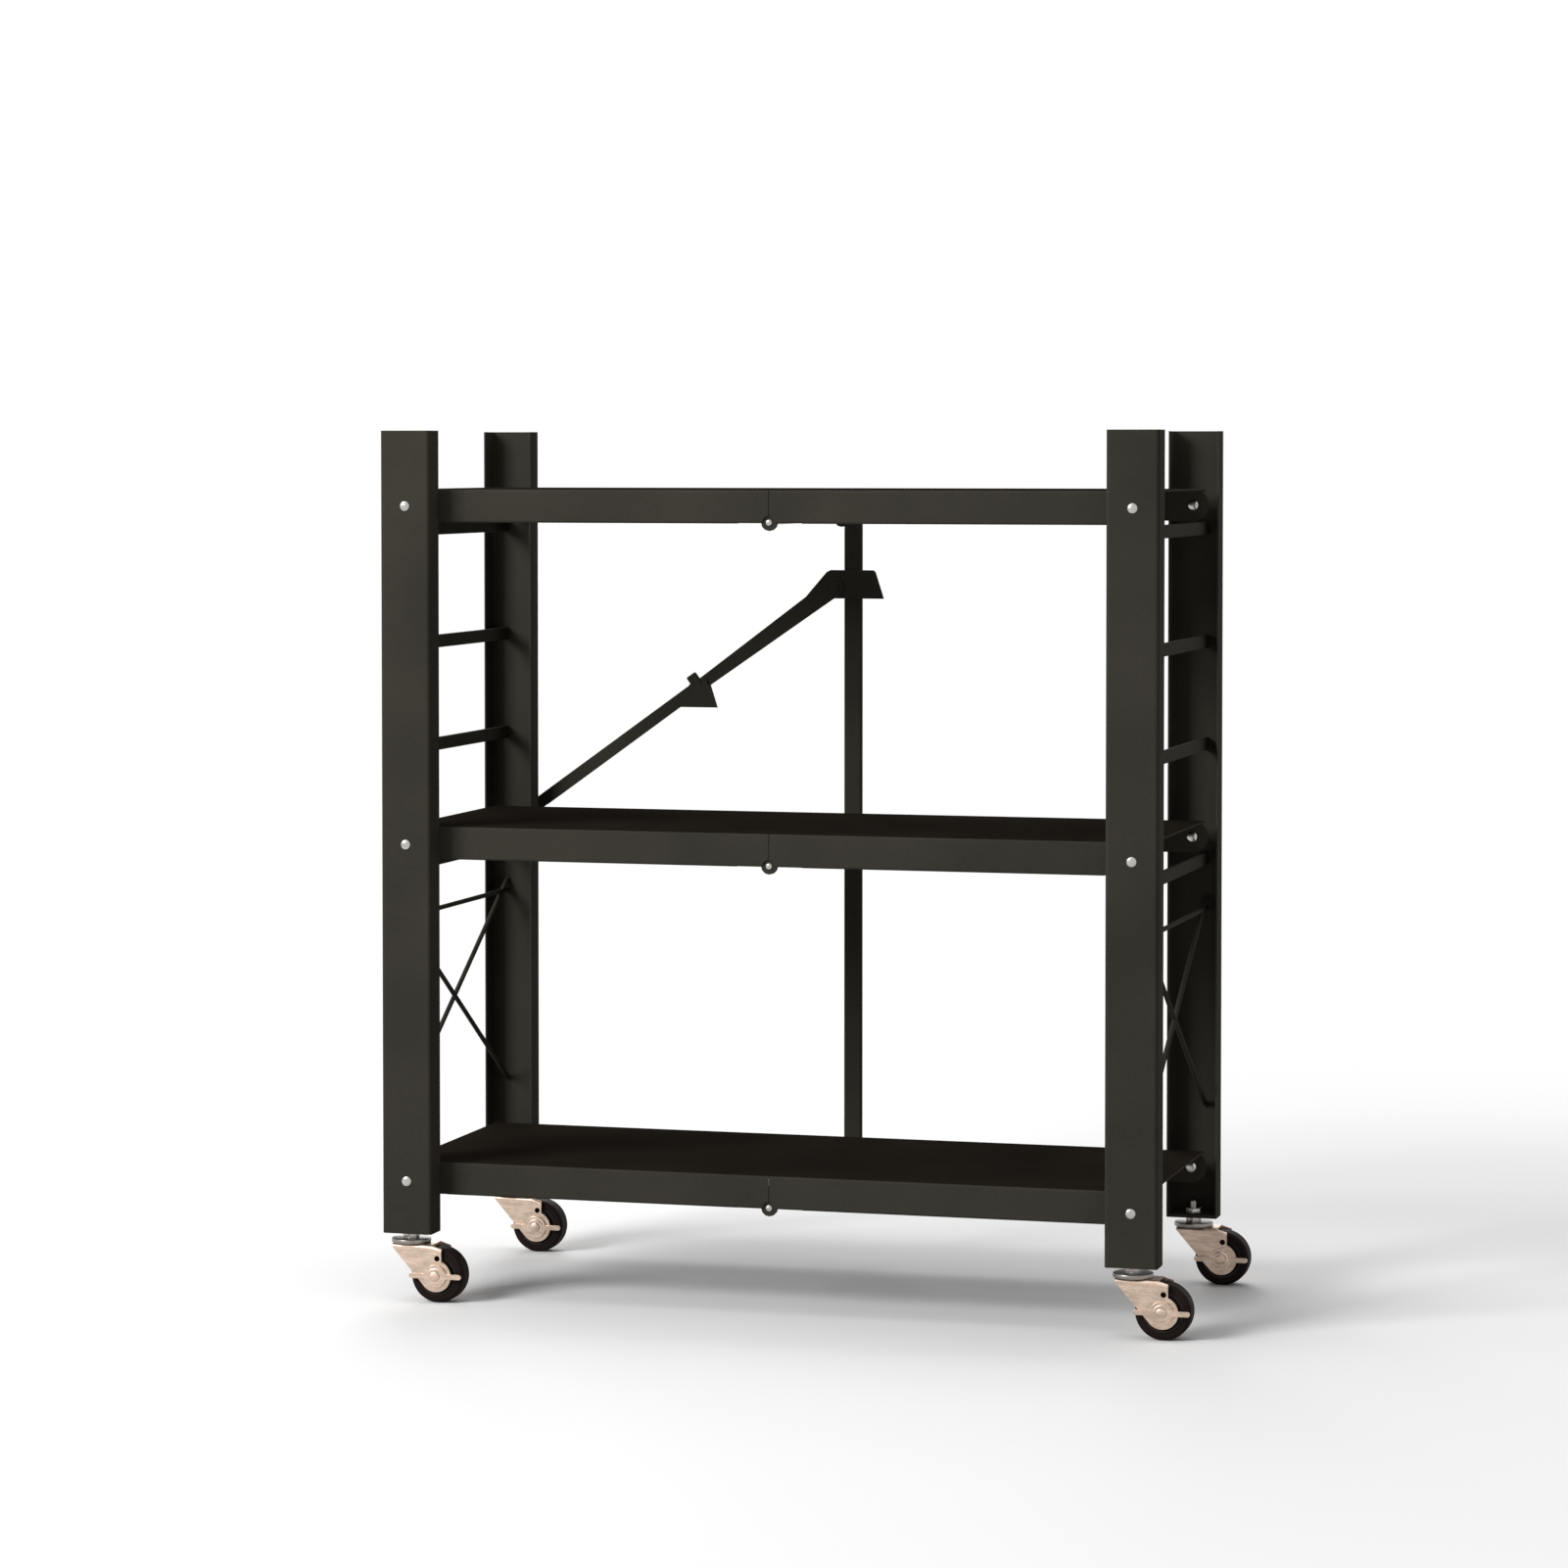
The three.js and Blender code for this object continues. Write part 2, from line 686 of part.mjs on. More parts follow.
// The loop at the lower stay's end that the upper stay slides through, with its rivet and its tab.
function keeperGeometry() {
  const front = lowerStayFront - running - keeperSheet;
  const rear = upperStayFront + staySheet + layerGap + keeperSheet;
  const half = stayWidth / 2 + keeperPlay + keeperSheet;
  const ring = rectangle(front, rear, -half, half, keeperCorner);
  const bore = rectangle(
    front + keeperSheet,
    rear - keeperSheet,
    -half + keeperSheet,
    half - keeperSheet,
    keeperCorner - keeperSheet,
  );
  ring.holes.push(bore);
  const loop = alongX(ring, keeperLength).translate(-keeperLength / 2, 0, 0);
  const stud = rodY(studRadius, front + keeperSheet - fuse, lowerStayFront + staySheet);
  const tab = alongY(tabShape(), keeperSheet).translate(0, front, 0).rotateY(stayAngle);
  return geometryOf(joined(loop, stud, tab));
}

function rearLinkage() {
  const linkage = groupAt(0, 0, 0);
  const bar = meshOf("centre_bar", barGeometry(), blackCoat());
  bar.position.y = barFront;
  const studZ = topPivotZ - pinDrop - studDrop;
  const bracket = meshOf("stay_bracket", bracketGeometry(), blackCoat());
  bracket.position.set(-studOffset, 0, studZ);
  const upper = meshOf("stay_upper", upperStayGeometry(), blackCoat());
  upper.position.set(-studOffset, 0, studZ);
  upper.rotation.y = -stayAngle;
  const lower = groupAt(
    -postX,
    0,
    middlePivotZ,
    meshOf("stay_lower", lowerStayGeometry(), blackCoat()),
    groupAt(keeperReach, 0, 0, meshOf("stay_keeper", keeperGeometry(), blackCoat())),
  );
  lower.rotation.y = -stayAngle;
  linkage.add(bar, bracket, upper, lower);
  return linkage;
}

// Casters, with the swivel axis on the local z axis

const crownTopZ = rideHeight - running - nutHeight - raceHeight - running;

// Threaded stem with its nuts, race and riveted kingpin end.
function stemGeometry() {
  const nutTop = rideHeight - running;
  const raceTop = nutTop - nutHeight;
  const headTop = crownTopZ - forkSheet - running;
  const nutRadius = nutFlats / Math.sqrt(3);
  const shank = rodZ(stemRadius, headTop - fuse, rideHeight + stemRise);
  const nut = rodZ(nutRadius, raceTop - fuse, nutTop, hexSides);
  const raceFoot = raceTop - raceHeight;
  const race = turned([
    [0, raceFoot],
    [raceRadius - raceRim, raceFoot],
    [raceRadius, raceFoot + raceRim],
    [raceRadius, raceTop - raceRim],
    [raceRadius - raceRim, raceTop],
    [0, raceTop],
  ]).rotateX(Math.PI / 2);
  const head = rodZ(kingpinHeadRadius, headTop - kingpinHeadHeight, headTop);
  const lockBase = rideHeight + footPlate + running;
  const lockNut = rodZ(nutRadius, lockBase, lockBase + nutHeight, hexSides);
  return geometryOf(joined(shank, nut, race, head, lockNut));
}

// The cheeks' trailing edge rises straight from the boss.
function cheekShape() {
  const crown = crownTopZ;
  const tailShare = Math.acos((cheekTail - trail) / bossRadius) / (2 * Math.PI);
  return new THREE.Shape([
    new THREE.Vector2(crownTail, crown),
    new THREE.Vector2(-forkLead, crown),
    new THREE.Vector2(-forkLead, crown - forkSheet),
    ...arcPoints(trail, wheelRadius, bossRadius, leadDegrees / 360, 1 + tailShare, smallSides),
    new THREE.Vector2(cheekTail, crown - cheekTailDrop),
  ]);
}

// A sheet folded down on both sides of the wheel and cut to the cheeks' outline.
function forkGeometry() {
  const width = forkGap + 2 * forkSheet;
  const reach = crownTopZ;
  const path = [
    new THREE.Vector2(width / 2, 0),
    new THREE.Vector2(width / 2, reach),
    new THREE.Vector2(-width / 2, reach),
    new THREE.Vector2(-width / 2, 0),
  ];
  const length = forkLead + trail + bossRadius;
  const folded = alongX(foldedSection(path, forkSheet, forkBend), length).translate(-forkLead, 0, 0);
  const cheeks = alongY(cheekShape(), width + 2 * overrun).translate(0, -width / 2 - overrun, 0);
  const behindCrown = block(crownTail, length, -forkGap / 2, forkGap / 2, 0, reach + overrun);
  const axleHole = rodY(axleRadius + running, -width, width).translate(trail, 0, wheelRadius);
  const sight = rodY(sightRadius, -width, width).translate(
    trail + sightTail,
    0,
    wheelRadius + sightRise,
  );
  const kingHole = rodZ(stemRadius + running, reach - forkSheet - overrun, reach + overrun);
  return geometryOf(cutBy(commonTo(folded, cheeks), behindCrown, axleHole, sight, kingHole));
}

function wheelGeometry() {
  const half = wheelWidth / 2;
  const hubHalf = hubWidth / 2;
  const bore = axleRadius + running;
  const rim = dishRadius;
  const slope = treadCorner * (1 - Math.SQRT1_2);
  return turned([
    [bore, -hubHalf],
    [hubRadius, -hubHalf],
    [hubRadius, -half + dishDepth],
    [rim, -half + dishDepth],
    [rim, -half],
    [wheelRadius - treadCorner, -half],
    [wheelRadius - slope, -half + slope],
    [wheelRadius, -half + treadCorner],
    [wheelRadius, half - treadCorner],
    [wheelRadius - slope, half - slope],
    [wheelRadius - treadCorner, half],
    [rim, half],
    [rim, half - dishDepth],
    [hubRadius, half - dishDepth],
    [hubRadius, hubHalf],
    [bore, hubHalf],
    [bore, -hubHalf],
  ]);
}

function axleGeometry() {
  const cheekFace = forkGap / 2 + forkSheet;
  const front = -axleFront;
  const rear = cheekFace + running;
  return turned(
    [
      [0, front - axleHeadHeight],
      [axleHeadRadius / 2, front - axleHeadHeight],
      [axleHeadRadius, front - axleHeadHeight / 2],
      [axleHeadRadius, front],
      [axleRadius, front],
      [axleRadius, rear],
      [axleHeadRadius, rear],
      [axleHeadRadius, rear + axleHeadHeight / 2],
      [axleHeadRadius / 2, rear + axleHeadHeight],
      [0, rear + axleHeadHeight],
    ],
    smallSides,
  );
}

// The rocking brake lever on the front cheek, with an ear on each side of the axle.
function leverGeometry() {
  const hub = disc(0, 0, leverHubRadius, roundSides);
  const ears = stripShape(
    -leverReach + leverHeight / 2,
    leverReach - leverHeight / 2,
    leverHeight,
  );
  const front = -forkGap / 2 - forkSheet - running - leverSheet;
  const crest = rodY(leverCrestRadius, -leverCrestHeight, fuse, roundSides);
  const plate = joined(alongY(hub, leverSheet), alongY(ears, leverSheet), crest);
  const hole = rodY(axleRadius + running, -overrun, leverSheet + overrun);
  return geometryOf(cutBy(plate, hole)).translate(0, front, 0);
}

function caster(side, end) {
  const name = `${end.name}_${side.name}`;
  const axle = groupAt(
    trail,
    0,
    wheelRadius,
    meshOf(`wheel_${name}`, wheelGeometry(), blackRubber()),
    meshOf(`axle_${name}`, axleGeometry(), warmNickel()),
    meshOf(`brake_lever_${name}`, leverGeometry(), warmNickel()),
  );
  return groupAt(
    side.sign * postX,
    end.sign * casterY,
    0,
    meshOf(`caster_stem_${name}`, stemGeometry(), stemSteel()),
    meshOf(`caster_fork_${name}`, forkGeometry(), warmNickel()),
    axle,
  );
}

// The bookcase, with the middle of its outline over the origin

const bookcase = groupAt(
  (rackWidth / 2 - casterReach) / 2,
  (frontmost - barRear) / 2,
  0,
);
for (const side of sides) {
  bookcase.add(sideFrame(side));
  for (const end of ends) bookcase.add(caster(side, end));
}
for (const level of levels) bookcase.add(shelf(level));
bookcase.add(rearLinkage());

const part = new THREE.Group();
part.add(bookcase);
export default part;
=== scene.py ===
"""Looks of a folding three-shelf steel bookcase on casters.

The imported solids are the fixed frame. Each piece made here takes its place from them, stands for
the solid that it dresses and moves with that solid's body. Everything is in metres, with +X along
the shelves, +Y from the front to the back and +Z up.
"""

import json
import logging
import math
from collections.abc import Callable, Sequence
from dataclasses import dataclass, field, replace
from enum import Enum

import bpy
from mathutils import Euler, Matrix, Vector


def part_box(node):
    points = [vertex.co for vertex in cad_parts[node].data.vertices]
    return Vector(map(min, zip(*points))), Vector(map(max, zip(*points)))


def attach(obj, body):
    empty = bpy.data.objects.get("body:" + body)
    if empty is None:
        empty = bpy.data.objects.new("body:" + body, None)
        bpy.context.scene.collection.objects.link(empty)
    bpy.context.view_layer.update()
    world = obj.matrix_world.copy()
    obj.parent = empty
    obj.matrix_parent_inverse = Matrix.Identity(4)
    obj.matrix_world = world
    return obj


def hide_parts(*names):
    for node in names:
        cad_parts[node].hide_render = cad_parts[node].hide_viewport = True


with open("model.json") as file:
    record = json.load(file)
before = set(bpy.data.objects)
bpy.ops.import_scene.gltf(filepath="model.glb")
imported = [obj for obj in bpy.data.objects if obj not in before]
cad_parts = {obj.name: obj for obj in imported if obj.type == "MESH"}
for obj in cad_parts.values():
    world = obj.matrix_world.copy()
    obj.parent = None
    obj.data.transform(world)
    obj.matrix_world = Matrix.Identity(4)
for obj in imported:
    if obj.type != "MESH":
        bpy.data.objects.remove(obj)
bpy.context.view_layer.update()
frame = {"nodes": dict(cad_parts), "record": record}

log = logging.getLogger("bookcase")

MM = 0.001
SMOOTH_ANGLE = math.radians(36)
EDGE_ANGLE = math.radians(40)
FLAT_ANGLE = math.radians(0.5)
QUARTER_TURN = math.radians(90)
SAME_PLACE = 0.005 * MM
RUNNING = 0.3 * MM
NOISE_MIDDLE = (0.3, 0.7)
PALEST = 0.9
UPWARD = 0.95
FACING = 0.5
TIP_SHARE = 0.06
HOLE_FACETS = 32
WHITE = (1.0, 1.0, 1.0, 1.0)
Triple = tuple[float, float, float]
Station = tuple[float, float]


class Slot(Enum):
    """The record's material slots."""

    BLACK_COAT = "black_coat"
    BRIGHT_ZINC = "bright_zinc"
    WARM_NICKEL = "warm_nickel"
    STEM_STEEL = "stem_steel"
    BLACK_RUBBER = "black_rubber"


class Side(Enum):
    """The two side frames, by their place along X."""

    LEFT = "left"
    RIGHT = "right"


class End(Enum):
    """Front and rear, by the sign of their place along Y."""

    FRONT = -1
    REAR = 1

    @property
    def label(self) -> str:
        """The word that node names use."""
        return self.name.lower()


class Level(Enum):
    """The three shelves."""

    BOTTOM = "bottom"
    MIDDLE = "middle"
    TOP = "top"


@dataclass
class Graph:
    """A material's node tree under construction."""

    tree: bpy.types.NodeTree

    @classmethod
    def fresh(cls, owner: bpy.types.Material | bpy.types.World) -> "Graph":
        """Empty the node tree of a material or a world and return it."""
        owner.use_nodes = True
        owner.node_tree.nodes.clear()
        return cls(owner.node_tree)

    def add(self, kind: str, **settings: object) -> bpy.types.Node:
        """Add a node and set its properties.

        Args:
            kind: the node's type name.
            **settings: values for the node's own properties.

        Returns:
            The new node.
        """
        node = self.tree.nodes.new(kind)
        for key, value in settings.items():
            setattr(node, key, value)
        return node

    def join(self, source: bpy.types.NodeSocket, target: bpy.types.NodeSocket) -> None:
        """Link an output to an input."""
        self.tree.links.new(source, target)

    def noise(self, scale: float, detail: float, stretch: Triple = (1, 1, 1)) -> bpy.types.Node:
        """Add noise on Object coordinates.

        Args:
            scale: cycles per metre.
            detail: octaves.
            stretch: scale of the coordinates along each axis.

        Returns:
            The noise node.
        """
        place = self.add("ShaderNodeTexCoord")
        mapping = self.add("ShaderNodeMapping")
        mapping.inputs["Scale"].default_value = stretch
        noise = self.add("ShaderNodeTexNoise")
        noise.inputs["Scale"].default_value = scale
        noise.inputs["Detail"].default_value = detail
        self.join(place.outputs["Object"], mapping.inputs["Vector"])
        self.join(mapping.outputs["Vector"], noise.inputs["Vector"])
        return noise

    def spread(self, noise: bpy.types.Node, low: float, high: float) -> bpy.types.Node:
        """Map a noise's middle range to the range from low to high."""
        spread = self.add("ShaderNodeMapRange")
        limits = (*NOISE_MIDDLE, low, high)
        for socket, limit in zip(("From Min", "From Max", "To Min", "To Max"), limits):
            spread.inputs[socket].default_value = limit
        self.join(noise.outputs["Fac"], spread.inputs["Value"])
        return spread

    def bump(self, height: bpy.types.NodeSocket, depth: float) -> bpy.types.Node:
        """Add a bump of a height at full strength, with its depth in metres."""
        bump = self.add("ShaderNodeBump")
        bump.inputs["Strength"].default_value = 1
        bump.inputs["Distance"].default_value = depth
        self.join(height, bump.inputs["Height"])
        return bump


@dataclass(frozen=True)
class Finish:
    """A finish: its colour, gloss and surface texture.

    Attributes:
        name: the material's name.
        slot: the record's slot that it belongs to.
        colour: its plain colour.
        roughness: its mean roughness.
        grain: size of the fine relief.
        relief: depth of the fine relief.
        metallic: 1 for bare metal.
        stretch: scale of the texture along each axis.
        mottle: how far the colour varies.
        patch: size of the colour's patches.
        specular: strength of the gloss on what isn't metal.
        speck: how far the grain shifts the colour between its limits.
        gloss_range: least and most roughness, as shares of the mean.
        wear: how much paler a rubbed edge is.
        wear_gloss: a rubbed edge's roughness, as a share.
    """

    name: str
    slot: Slot
    colour: Triple
    roughness: float
    grain: float
    relief: float
    metallic: float = 0.0
    stretch: Triple = (1, 1, 1)
    mottle: float = 0.15
    patch: float = 140 * MM
    specular: float = 0.5
    speck: float = 0.25
    gloss_range: tuple[float, float] = (0.9, 1.12)
    wear: float = 1.6
    wear_gloss: float = 0.75

    def material(self) -> bpy.types.Material:
        """Return the finish's material, which is made at its first use."""
        known = bpy.data.materials.get(self.name)
        if known:
            return known
        made = bpy.data.materials.new(self.name)
        self.lay(Graph.fresh(made))
        return made

    def worn(self) -> "Finish":
        """Return the finish as rubbed along an edge, paler and smoother."""
        colour = tuple(min(PALEST, part * self.wear) for part in self.colour)
        roughness = self.wear_gloss * self.roughness
        return replace(self, name=self.name + " rubbed", colour=colour, roughness=roughness)

    def lay(self, graph: Graph) -> None:
        """Build the nodes: mottled colour, uneven gloss and a fine relief.

        Args:
            graph: the material's empty node tree.
        """
        shader = graph.add("ShaderNodeBsdfPrincipled")
        shader.inputs["Metallic"].default_value = self.metallic
        shader.inputs["Specular IOR Level"].default_value = self.specular
        output = graph.add("ShaderNodeOutputMaterial")
        graph.join(shader.outputs["BSDF"], output.inputs["Surface"])
        cloud = graph.noise(1 / self.patch, 3.0, self.stretch)
        tint = graph.add("ShaderNodeMix", data_type="RGBA")
        tint.inputs["A"].default_value = self.shade(1 - self.mottle)
        tint.inputs["B"].default_value = self.shade(1 + self.mottle)
        graph.join(tint.outputs["Result"], shader.inputs["Base Color"])
        grain = graph.noise(1 / self.grain, 2.0, self.stretch)
        blend = graph.add("ShaderNodeMath", operation="ADD")
        graph.join(graph.spread(cloud, 0.0, 1.0).outputs["Result"], blend.inputs[0])
        speck = graph.spread(grain, -self.speck, self.speck)
        graph.join(speck.outputs["Result"], blend.inputs[1])
        graph.join(blend.outputs["Value"], tint.inputs["Factor"])
        gloss = graph.spread(grain, *(self.roughness * share for share in self.gloss_range))
        graph.join(gloss.outputs["Result"], shader.inputs["Roughness"])
        bump = graph.bump(grain.outputs["Fac"], self.relief)
        graph.join(bump.outputs["Normal"], shader.inputs["Normal"])

    def shade(self, factor: float) -> tuple[float, float, float, float]:
        """Return the colour times a factor, with full alpha."""
        red, green, blue = (min(1.0, part * factor) for part in self.colour)
        return red, green, blue, 1.0


BLACK_COAT = Finish(
    name="satin black powder coat",
    slot=Slot.BLACK_COAT,
    colour=(0.0415, 0.0385, 0.0305),
    roughness=0.8,
    grain=1.3 * MM,
    relief=0.03 * MM,
    specular=0.02,
)
# The shelf decks' upward faces: a matt coat that has no gloss, whose colour is darker than the
# frame coat as painted shade on the decks
DECK_SHADE_COAT = replace(
    BLACK_COAT,
    name="matt black deck coat",
    colour=(0.0165, 0.0135, 0.0105),
    roughness=0.85,
    specular=0.0,
)
BRIGHT_ZINC = Finish(
    name="bright zinc plate",
    slot=Slot.BRIGHT_ZINC,
    colour=(0.46, 0.45, 0.43),
    roughness=0.22,
    grain=0.5 * MM,
    relief=0.004 * MM,
    metallic=1.0,
    mottle=0.08,
    patch=3 * MM,
    wear=1.2,
)
WARM_NICKEL = Finish(
    name="warm nickel plate",
    slot=Slot.WARM_NICKEL,
    colour=(0.58, 0.45, 0.36),
    roughness=0.36,
    grain=2.2 * MM,
    relief=0.07 * MM,
    metallic=1.0,
    stretch=(1, 1, 4),
    mottle=0.2,
    patch=12 * MM,
    wear=1.25,
)
STEM_STEEL = Finish(
    name="oiled steel",
    slot=Slot.STEM_STEEL,
    colour=(0.26, 0.24, 0.22),
    roughness=0.33,
    grain=0.7 * MM,
    relief=0.006 * MM,
    metallic=1.0,
    patch=5 * MM,
)
TREAD_RUBBER = Finish(
    name="tread rubber",
    slot=Slot.BLACK_RUBBER,
    colour=(0.010, 0.0055, 0.0045),
    roughness=0.68,
    grain=0.6 * MM,
    relief=0.03 * MM,
    mottle=0.2,
    patch=9 * MM,
    specular=0.1,
)
CORE_PLASTIC = Finish(
    name="moulded wheel core",
    slot=Slot.BLACK_RUBBER,
    colour=(0.014, 0.009, 0.008),
    roughness=0.42,
    grain=1.1 * MM,
    relief=0.01 * MM,
    patch=9 * MM,
    specular=0.25,
)


class Part(Enum):
    """The two kinds of face that a piece has, by material index."""

    FIELD = 0
    EDGE = 1

    @property
    def marker(self) -> bpy.types.Material:
        """The plain material that marks such faces until the piece has its finish."""
        return bpy.data.materials.get(self.name) or bpy.data.materials.new(self.name)


class Bench:
    """The modelling steps that every sub-assembly shares."""

    @staticmethod
    def clear() -> None:
        """Leave edit mode and deselect everything."""
        active = bpy.context.view_layer.objects.active
        if active and active.mode != "OBJECT":
            bpy.ops.object.mode_set(mode="OBJECT")
        bpy.ops.object.select_all(action="DESELECT")

    @staticmethod
    def hold(piece: bpy.types.Object) -> None:
        """Make a piece the only one selected, and active."""
        Bench.clear()
        piece.select_set(True)
        bpy.context.view_layer.objects.active = piece

    @staticmethod
    def newest(name: str) -> bpy.types.Object:
        """Name the object that an operator has just added, and keep its place in its mesh."""
        piece = bpy.context.view_layer.objects.active
        piece.name = name
        piece.data.name = name
        bpy.ops.object.transform_apply(location=True, rotation=True, scale=True)
        return piece

    @staticmethod
    def edit(kind: str, action: str = "SELECT") -> None:
        """Enter edit mode on points, edges or faces, with all of them selected or none."""
        bpy.ops.object.mode_set(mode="EDIT")
        bpy.ops.mesh.select_mode(type=kind)
        bpy.ops.mesh.select_all(action=action)

    @staticmethod
    def block(name: str, low: Sequence[float], high: Sequence[float]) -> bpy.types.Object:
        """Add a block between two corners.

        Args:
            name: the piece's name.
            low: its lowest corner.
            high: its highest corner.

        Returns:
            The block, with its place in its mesh.
        """
        Bench.clear()
        low, high = Vector(low), Vector(high)
        bpy.ops.mesh.primitive_cube_add(size=1, location=(low + high) / 2, scale=high - low)
        return Bench.newest(name)

    @staticmethod
    def pick_faces(piece: bpy.types.Object, wanted: Callable[[Vector, Vector], bool]) -> None:
        """Enter edit mode with only the wanted faces selected.

        Args:
            piece: the piece to edit.
            wanted: test of a face's centre and normal.
        """
        Bench.hold(piece)
        Bench.edit("FACE", "DESELECT")
        bpy.ops.object.mode_set(mode="OBJECT")
        for face in piece.data.polygons:
            face.select = wanted(face.center, face.normal)
        bpy.ops.object.mode_set(mode="EDIT")

    @staticmethod
    def pick_edges(piece: bpy.types.Object, wanted: Callable[[Vector, Vector], bool]) -> None:
        """Enter edit mode with only the wanted edges selected.

        Args:
            piece: the piece to edit.
            wanted: test of an edge's two ends.
        """
        Bench.hold(piece)
        Bench.edit("EDGE", "DESELECT")
        bpy.ops.object.mode_set(mode="OBJECT")
        points = piece.data.vertices
        for edge in piece.data.edges:
            first, last = (points[i].co for i in edge.vertices)
            edge.select = wanted(first, last)
        bpy.ops.object.mode_set(mode="EDIT")

    @staticmethod
    def round_edges(
        piece: bpy.types.Object, radius: float, steps: int, wanted: Callable[[Vector, Vector], bool]
    ) -> None:
        """Round the wanted edges of a piece to a radius in a number of steps."""
        Bench.pick_edges(piece, wanted)
        bpy.ops.mesh.bevel(offset=radius, segments=steps, affect="EDGES")
        Bench.clear()

    @staticmethod
    def apply(piece: bpy.types.Object, kind: str, **settings: object) -> None:
        """Add a modifier with settings and apply it."""
        Bench.hold(piece)
        modifier = piece.modifiers.new(kind.title(), kind)
        for key, value in settings.items():
            setattr(modifier, key, value)
        bpy.ops.object.modifier_apply(modifier=modifier.name)

    @staticmethod
    def mark(piece: bpy.types.Object) -> None:
        """Give a piece a material slot for each kind of face."""
        if not piece.data.materials:
            for part in Part:
                piece.data.materials.append(part.marker)

    @staticmethod
    def soften(piece: bpy.types.Object, width: float, steps: int = 2) -> None:
        """Break the sharp edges of a piece, mark them as edges and shade the rest smooth."""
        Bench.mark(piece)
        Bench.apply(
            piece,
            "BEVEL",
            width=width,
            segments=steps,
            limit_method="ANGLE",
            angle_limit=EDGE_ANGLE,
            use_clamp_overlap=True,
            material=Part.EDGE.value,
        )
        Bench.smooth(piece)

    @staticmethod
    def smooth(piece: bpy.types.Object) -> None:
        """Shade a piece smooth but for its edges, with its large faces kept flat."""
        Bench.hold(piece)
        bpy.ops.object.shade_smooth_by_angle(angle=SMOOTH_ANGLE)
        Bench.apply(piece, "WEIGHTED_NORMAL", mode="FACE_AREA", weight=50, keep_sharp=True)

    @staticmethod
    def outward(piece: bpy.types.Object) -> None:
        """Merge a piece's doubled points and turn its faces out."""
        Bench.hold(piece)
        Bench.edit("VERT")
        bpy.ops.mesh.remove_doubles(threshold=SAME_PLACE)
        bpy.ops.mesh.normals_make_consistent(inside=False)
        bpy.ops.object.mode_set(mode="OBJECT")

    @staticmethod
    def cut(piece: bpy.types.Object, tool: bpy.types.Object, operation: str = "DIFFERENCE") -> None:
        """Cut a piece by a tool, or join the two, and delete the tool."""
        Bench.apply(piece, "BOOLEAN", operation=operation, object=tool, solver="EXACT")
        bpy.data.objects.remove(tool)

    @staticmethod
    def drill(
        piece: bpy.types.Object, place: Vector, radius: float, depth: float, upright: bool = False
    ) -> None:
        """Cut a round hole through a piece.

        Args:
            piece: the piece.
            place: the middle of the hole.
            radius: its radius.
            depth: its depth.
            upright: whether it runs along Z and not along Y.
        """
        Bench.clear()
        bpy.ops.mesh.primitive_cylinder_add(
            vertices=HOLE_FACETS,
            radius=radius,
            depth=depth,
            location=place,
            rotation=(0 if upright else QUARTER_TURN, 0, 0),
        )
        Bench.cut(piece, Bench.newest("drill"))

    @staticmethod
    def gather(piece: bpy.types.Object, *others: bpy.types.Object) -> bpy.types.Object:
        """Make several pieces one object and return it."""
        Bench.hold(piece)
        for other in others:
            other.select_set(True)
        bpy.ops.object.join()
        return piece

    @staticmethod
    def copy(piece: bpy.types.Object, name: str, change: Matrix) -> bpy.types.Object:
        """Copy a piece with a mesh of its own.

        Args:
            piece: what is copied.
            name: the copy's name.
            change: how the copy's mesh is moved.

        Returns:
            The copy.
        """
        made = bpy.data.objects.new(name, piece.data.copy())
        made.data.name = name
        made.data.transform(change)
        if change.determinant() < 0:
            made.data.flip_normals()
        bpy.context.scene.collection.objects.link(made)
        return made

    @staticmethod
    def turned(
        name: str, stations: Sequence[Station], facets: int, bored: bool = False
    ) -> bpy.types.Object:
        """Turn a solid about Z: a ring is drawn out and widened from station to station.

        Args:
            name: the piece's name.
            stations: radius and height of each ring.
            facets: sides of each ring.
            bored: whether the last station meets the first round a bore.

        Returns:
            The closed solid.
        """
        Bench.clear()
        radius, height = stations[0]
        bpy.ops.mesh.primitive_circle_add(
            vertices=facets,
            radius=radius,
            fill_type="NOTHING" if bored else "NGON",
            location=(0, 0, height),
        )
        piece = Bench.newest(name)
        Bench.edit("EDGE" if bored else "FACE")
        for next_radius, next_height in stations[1:]:
            bpy.ops.mesh.extrude_region_move(
                TRANSFORM_OT_translate={"value": (0, 0, next_height - height)}
            )
            ratio = next_radius / radius
            bpy.ops.transform.resize(value=(ratio, ratio, 1), center_override=(0, 0, next_height))
            radius, height = next_radius, next_height
        bpy.ops.object.mode_set(mode="OBJECT")
        Bench.outward(piece)
        return piece

    @staticmethod
    def refined(node: str, edge: float) -> bpy.types.Object:
        """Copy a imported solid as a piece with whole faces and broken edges.

        Args:
            node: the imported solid's name.
            edge: width of the broken edges.

        Returns:
            The piece.
        """
        piece = Bench.copy(frame["nodes"][node], node + "_piece", Matrix.Identity(4))
        piece.data.materials.clear()
        Bench.outward(piece)
        Bench.edit("VERT")
        bpy.ops.mesh.dissolve_limited(angle_limit=FLAT_ANGLE)
        bpy.ops.object.mode_set(mode="OBJECT")
        Bench.soften(piece, edge)
        return piece


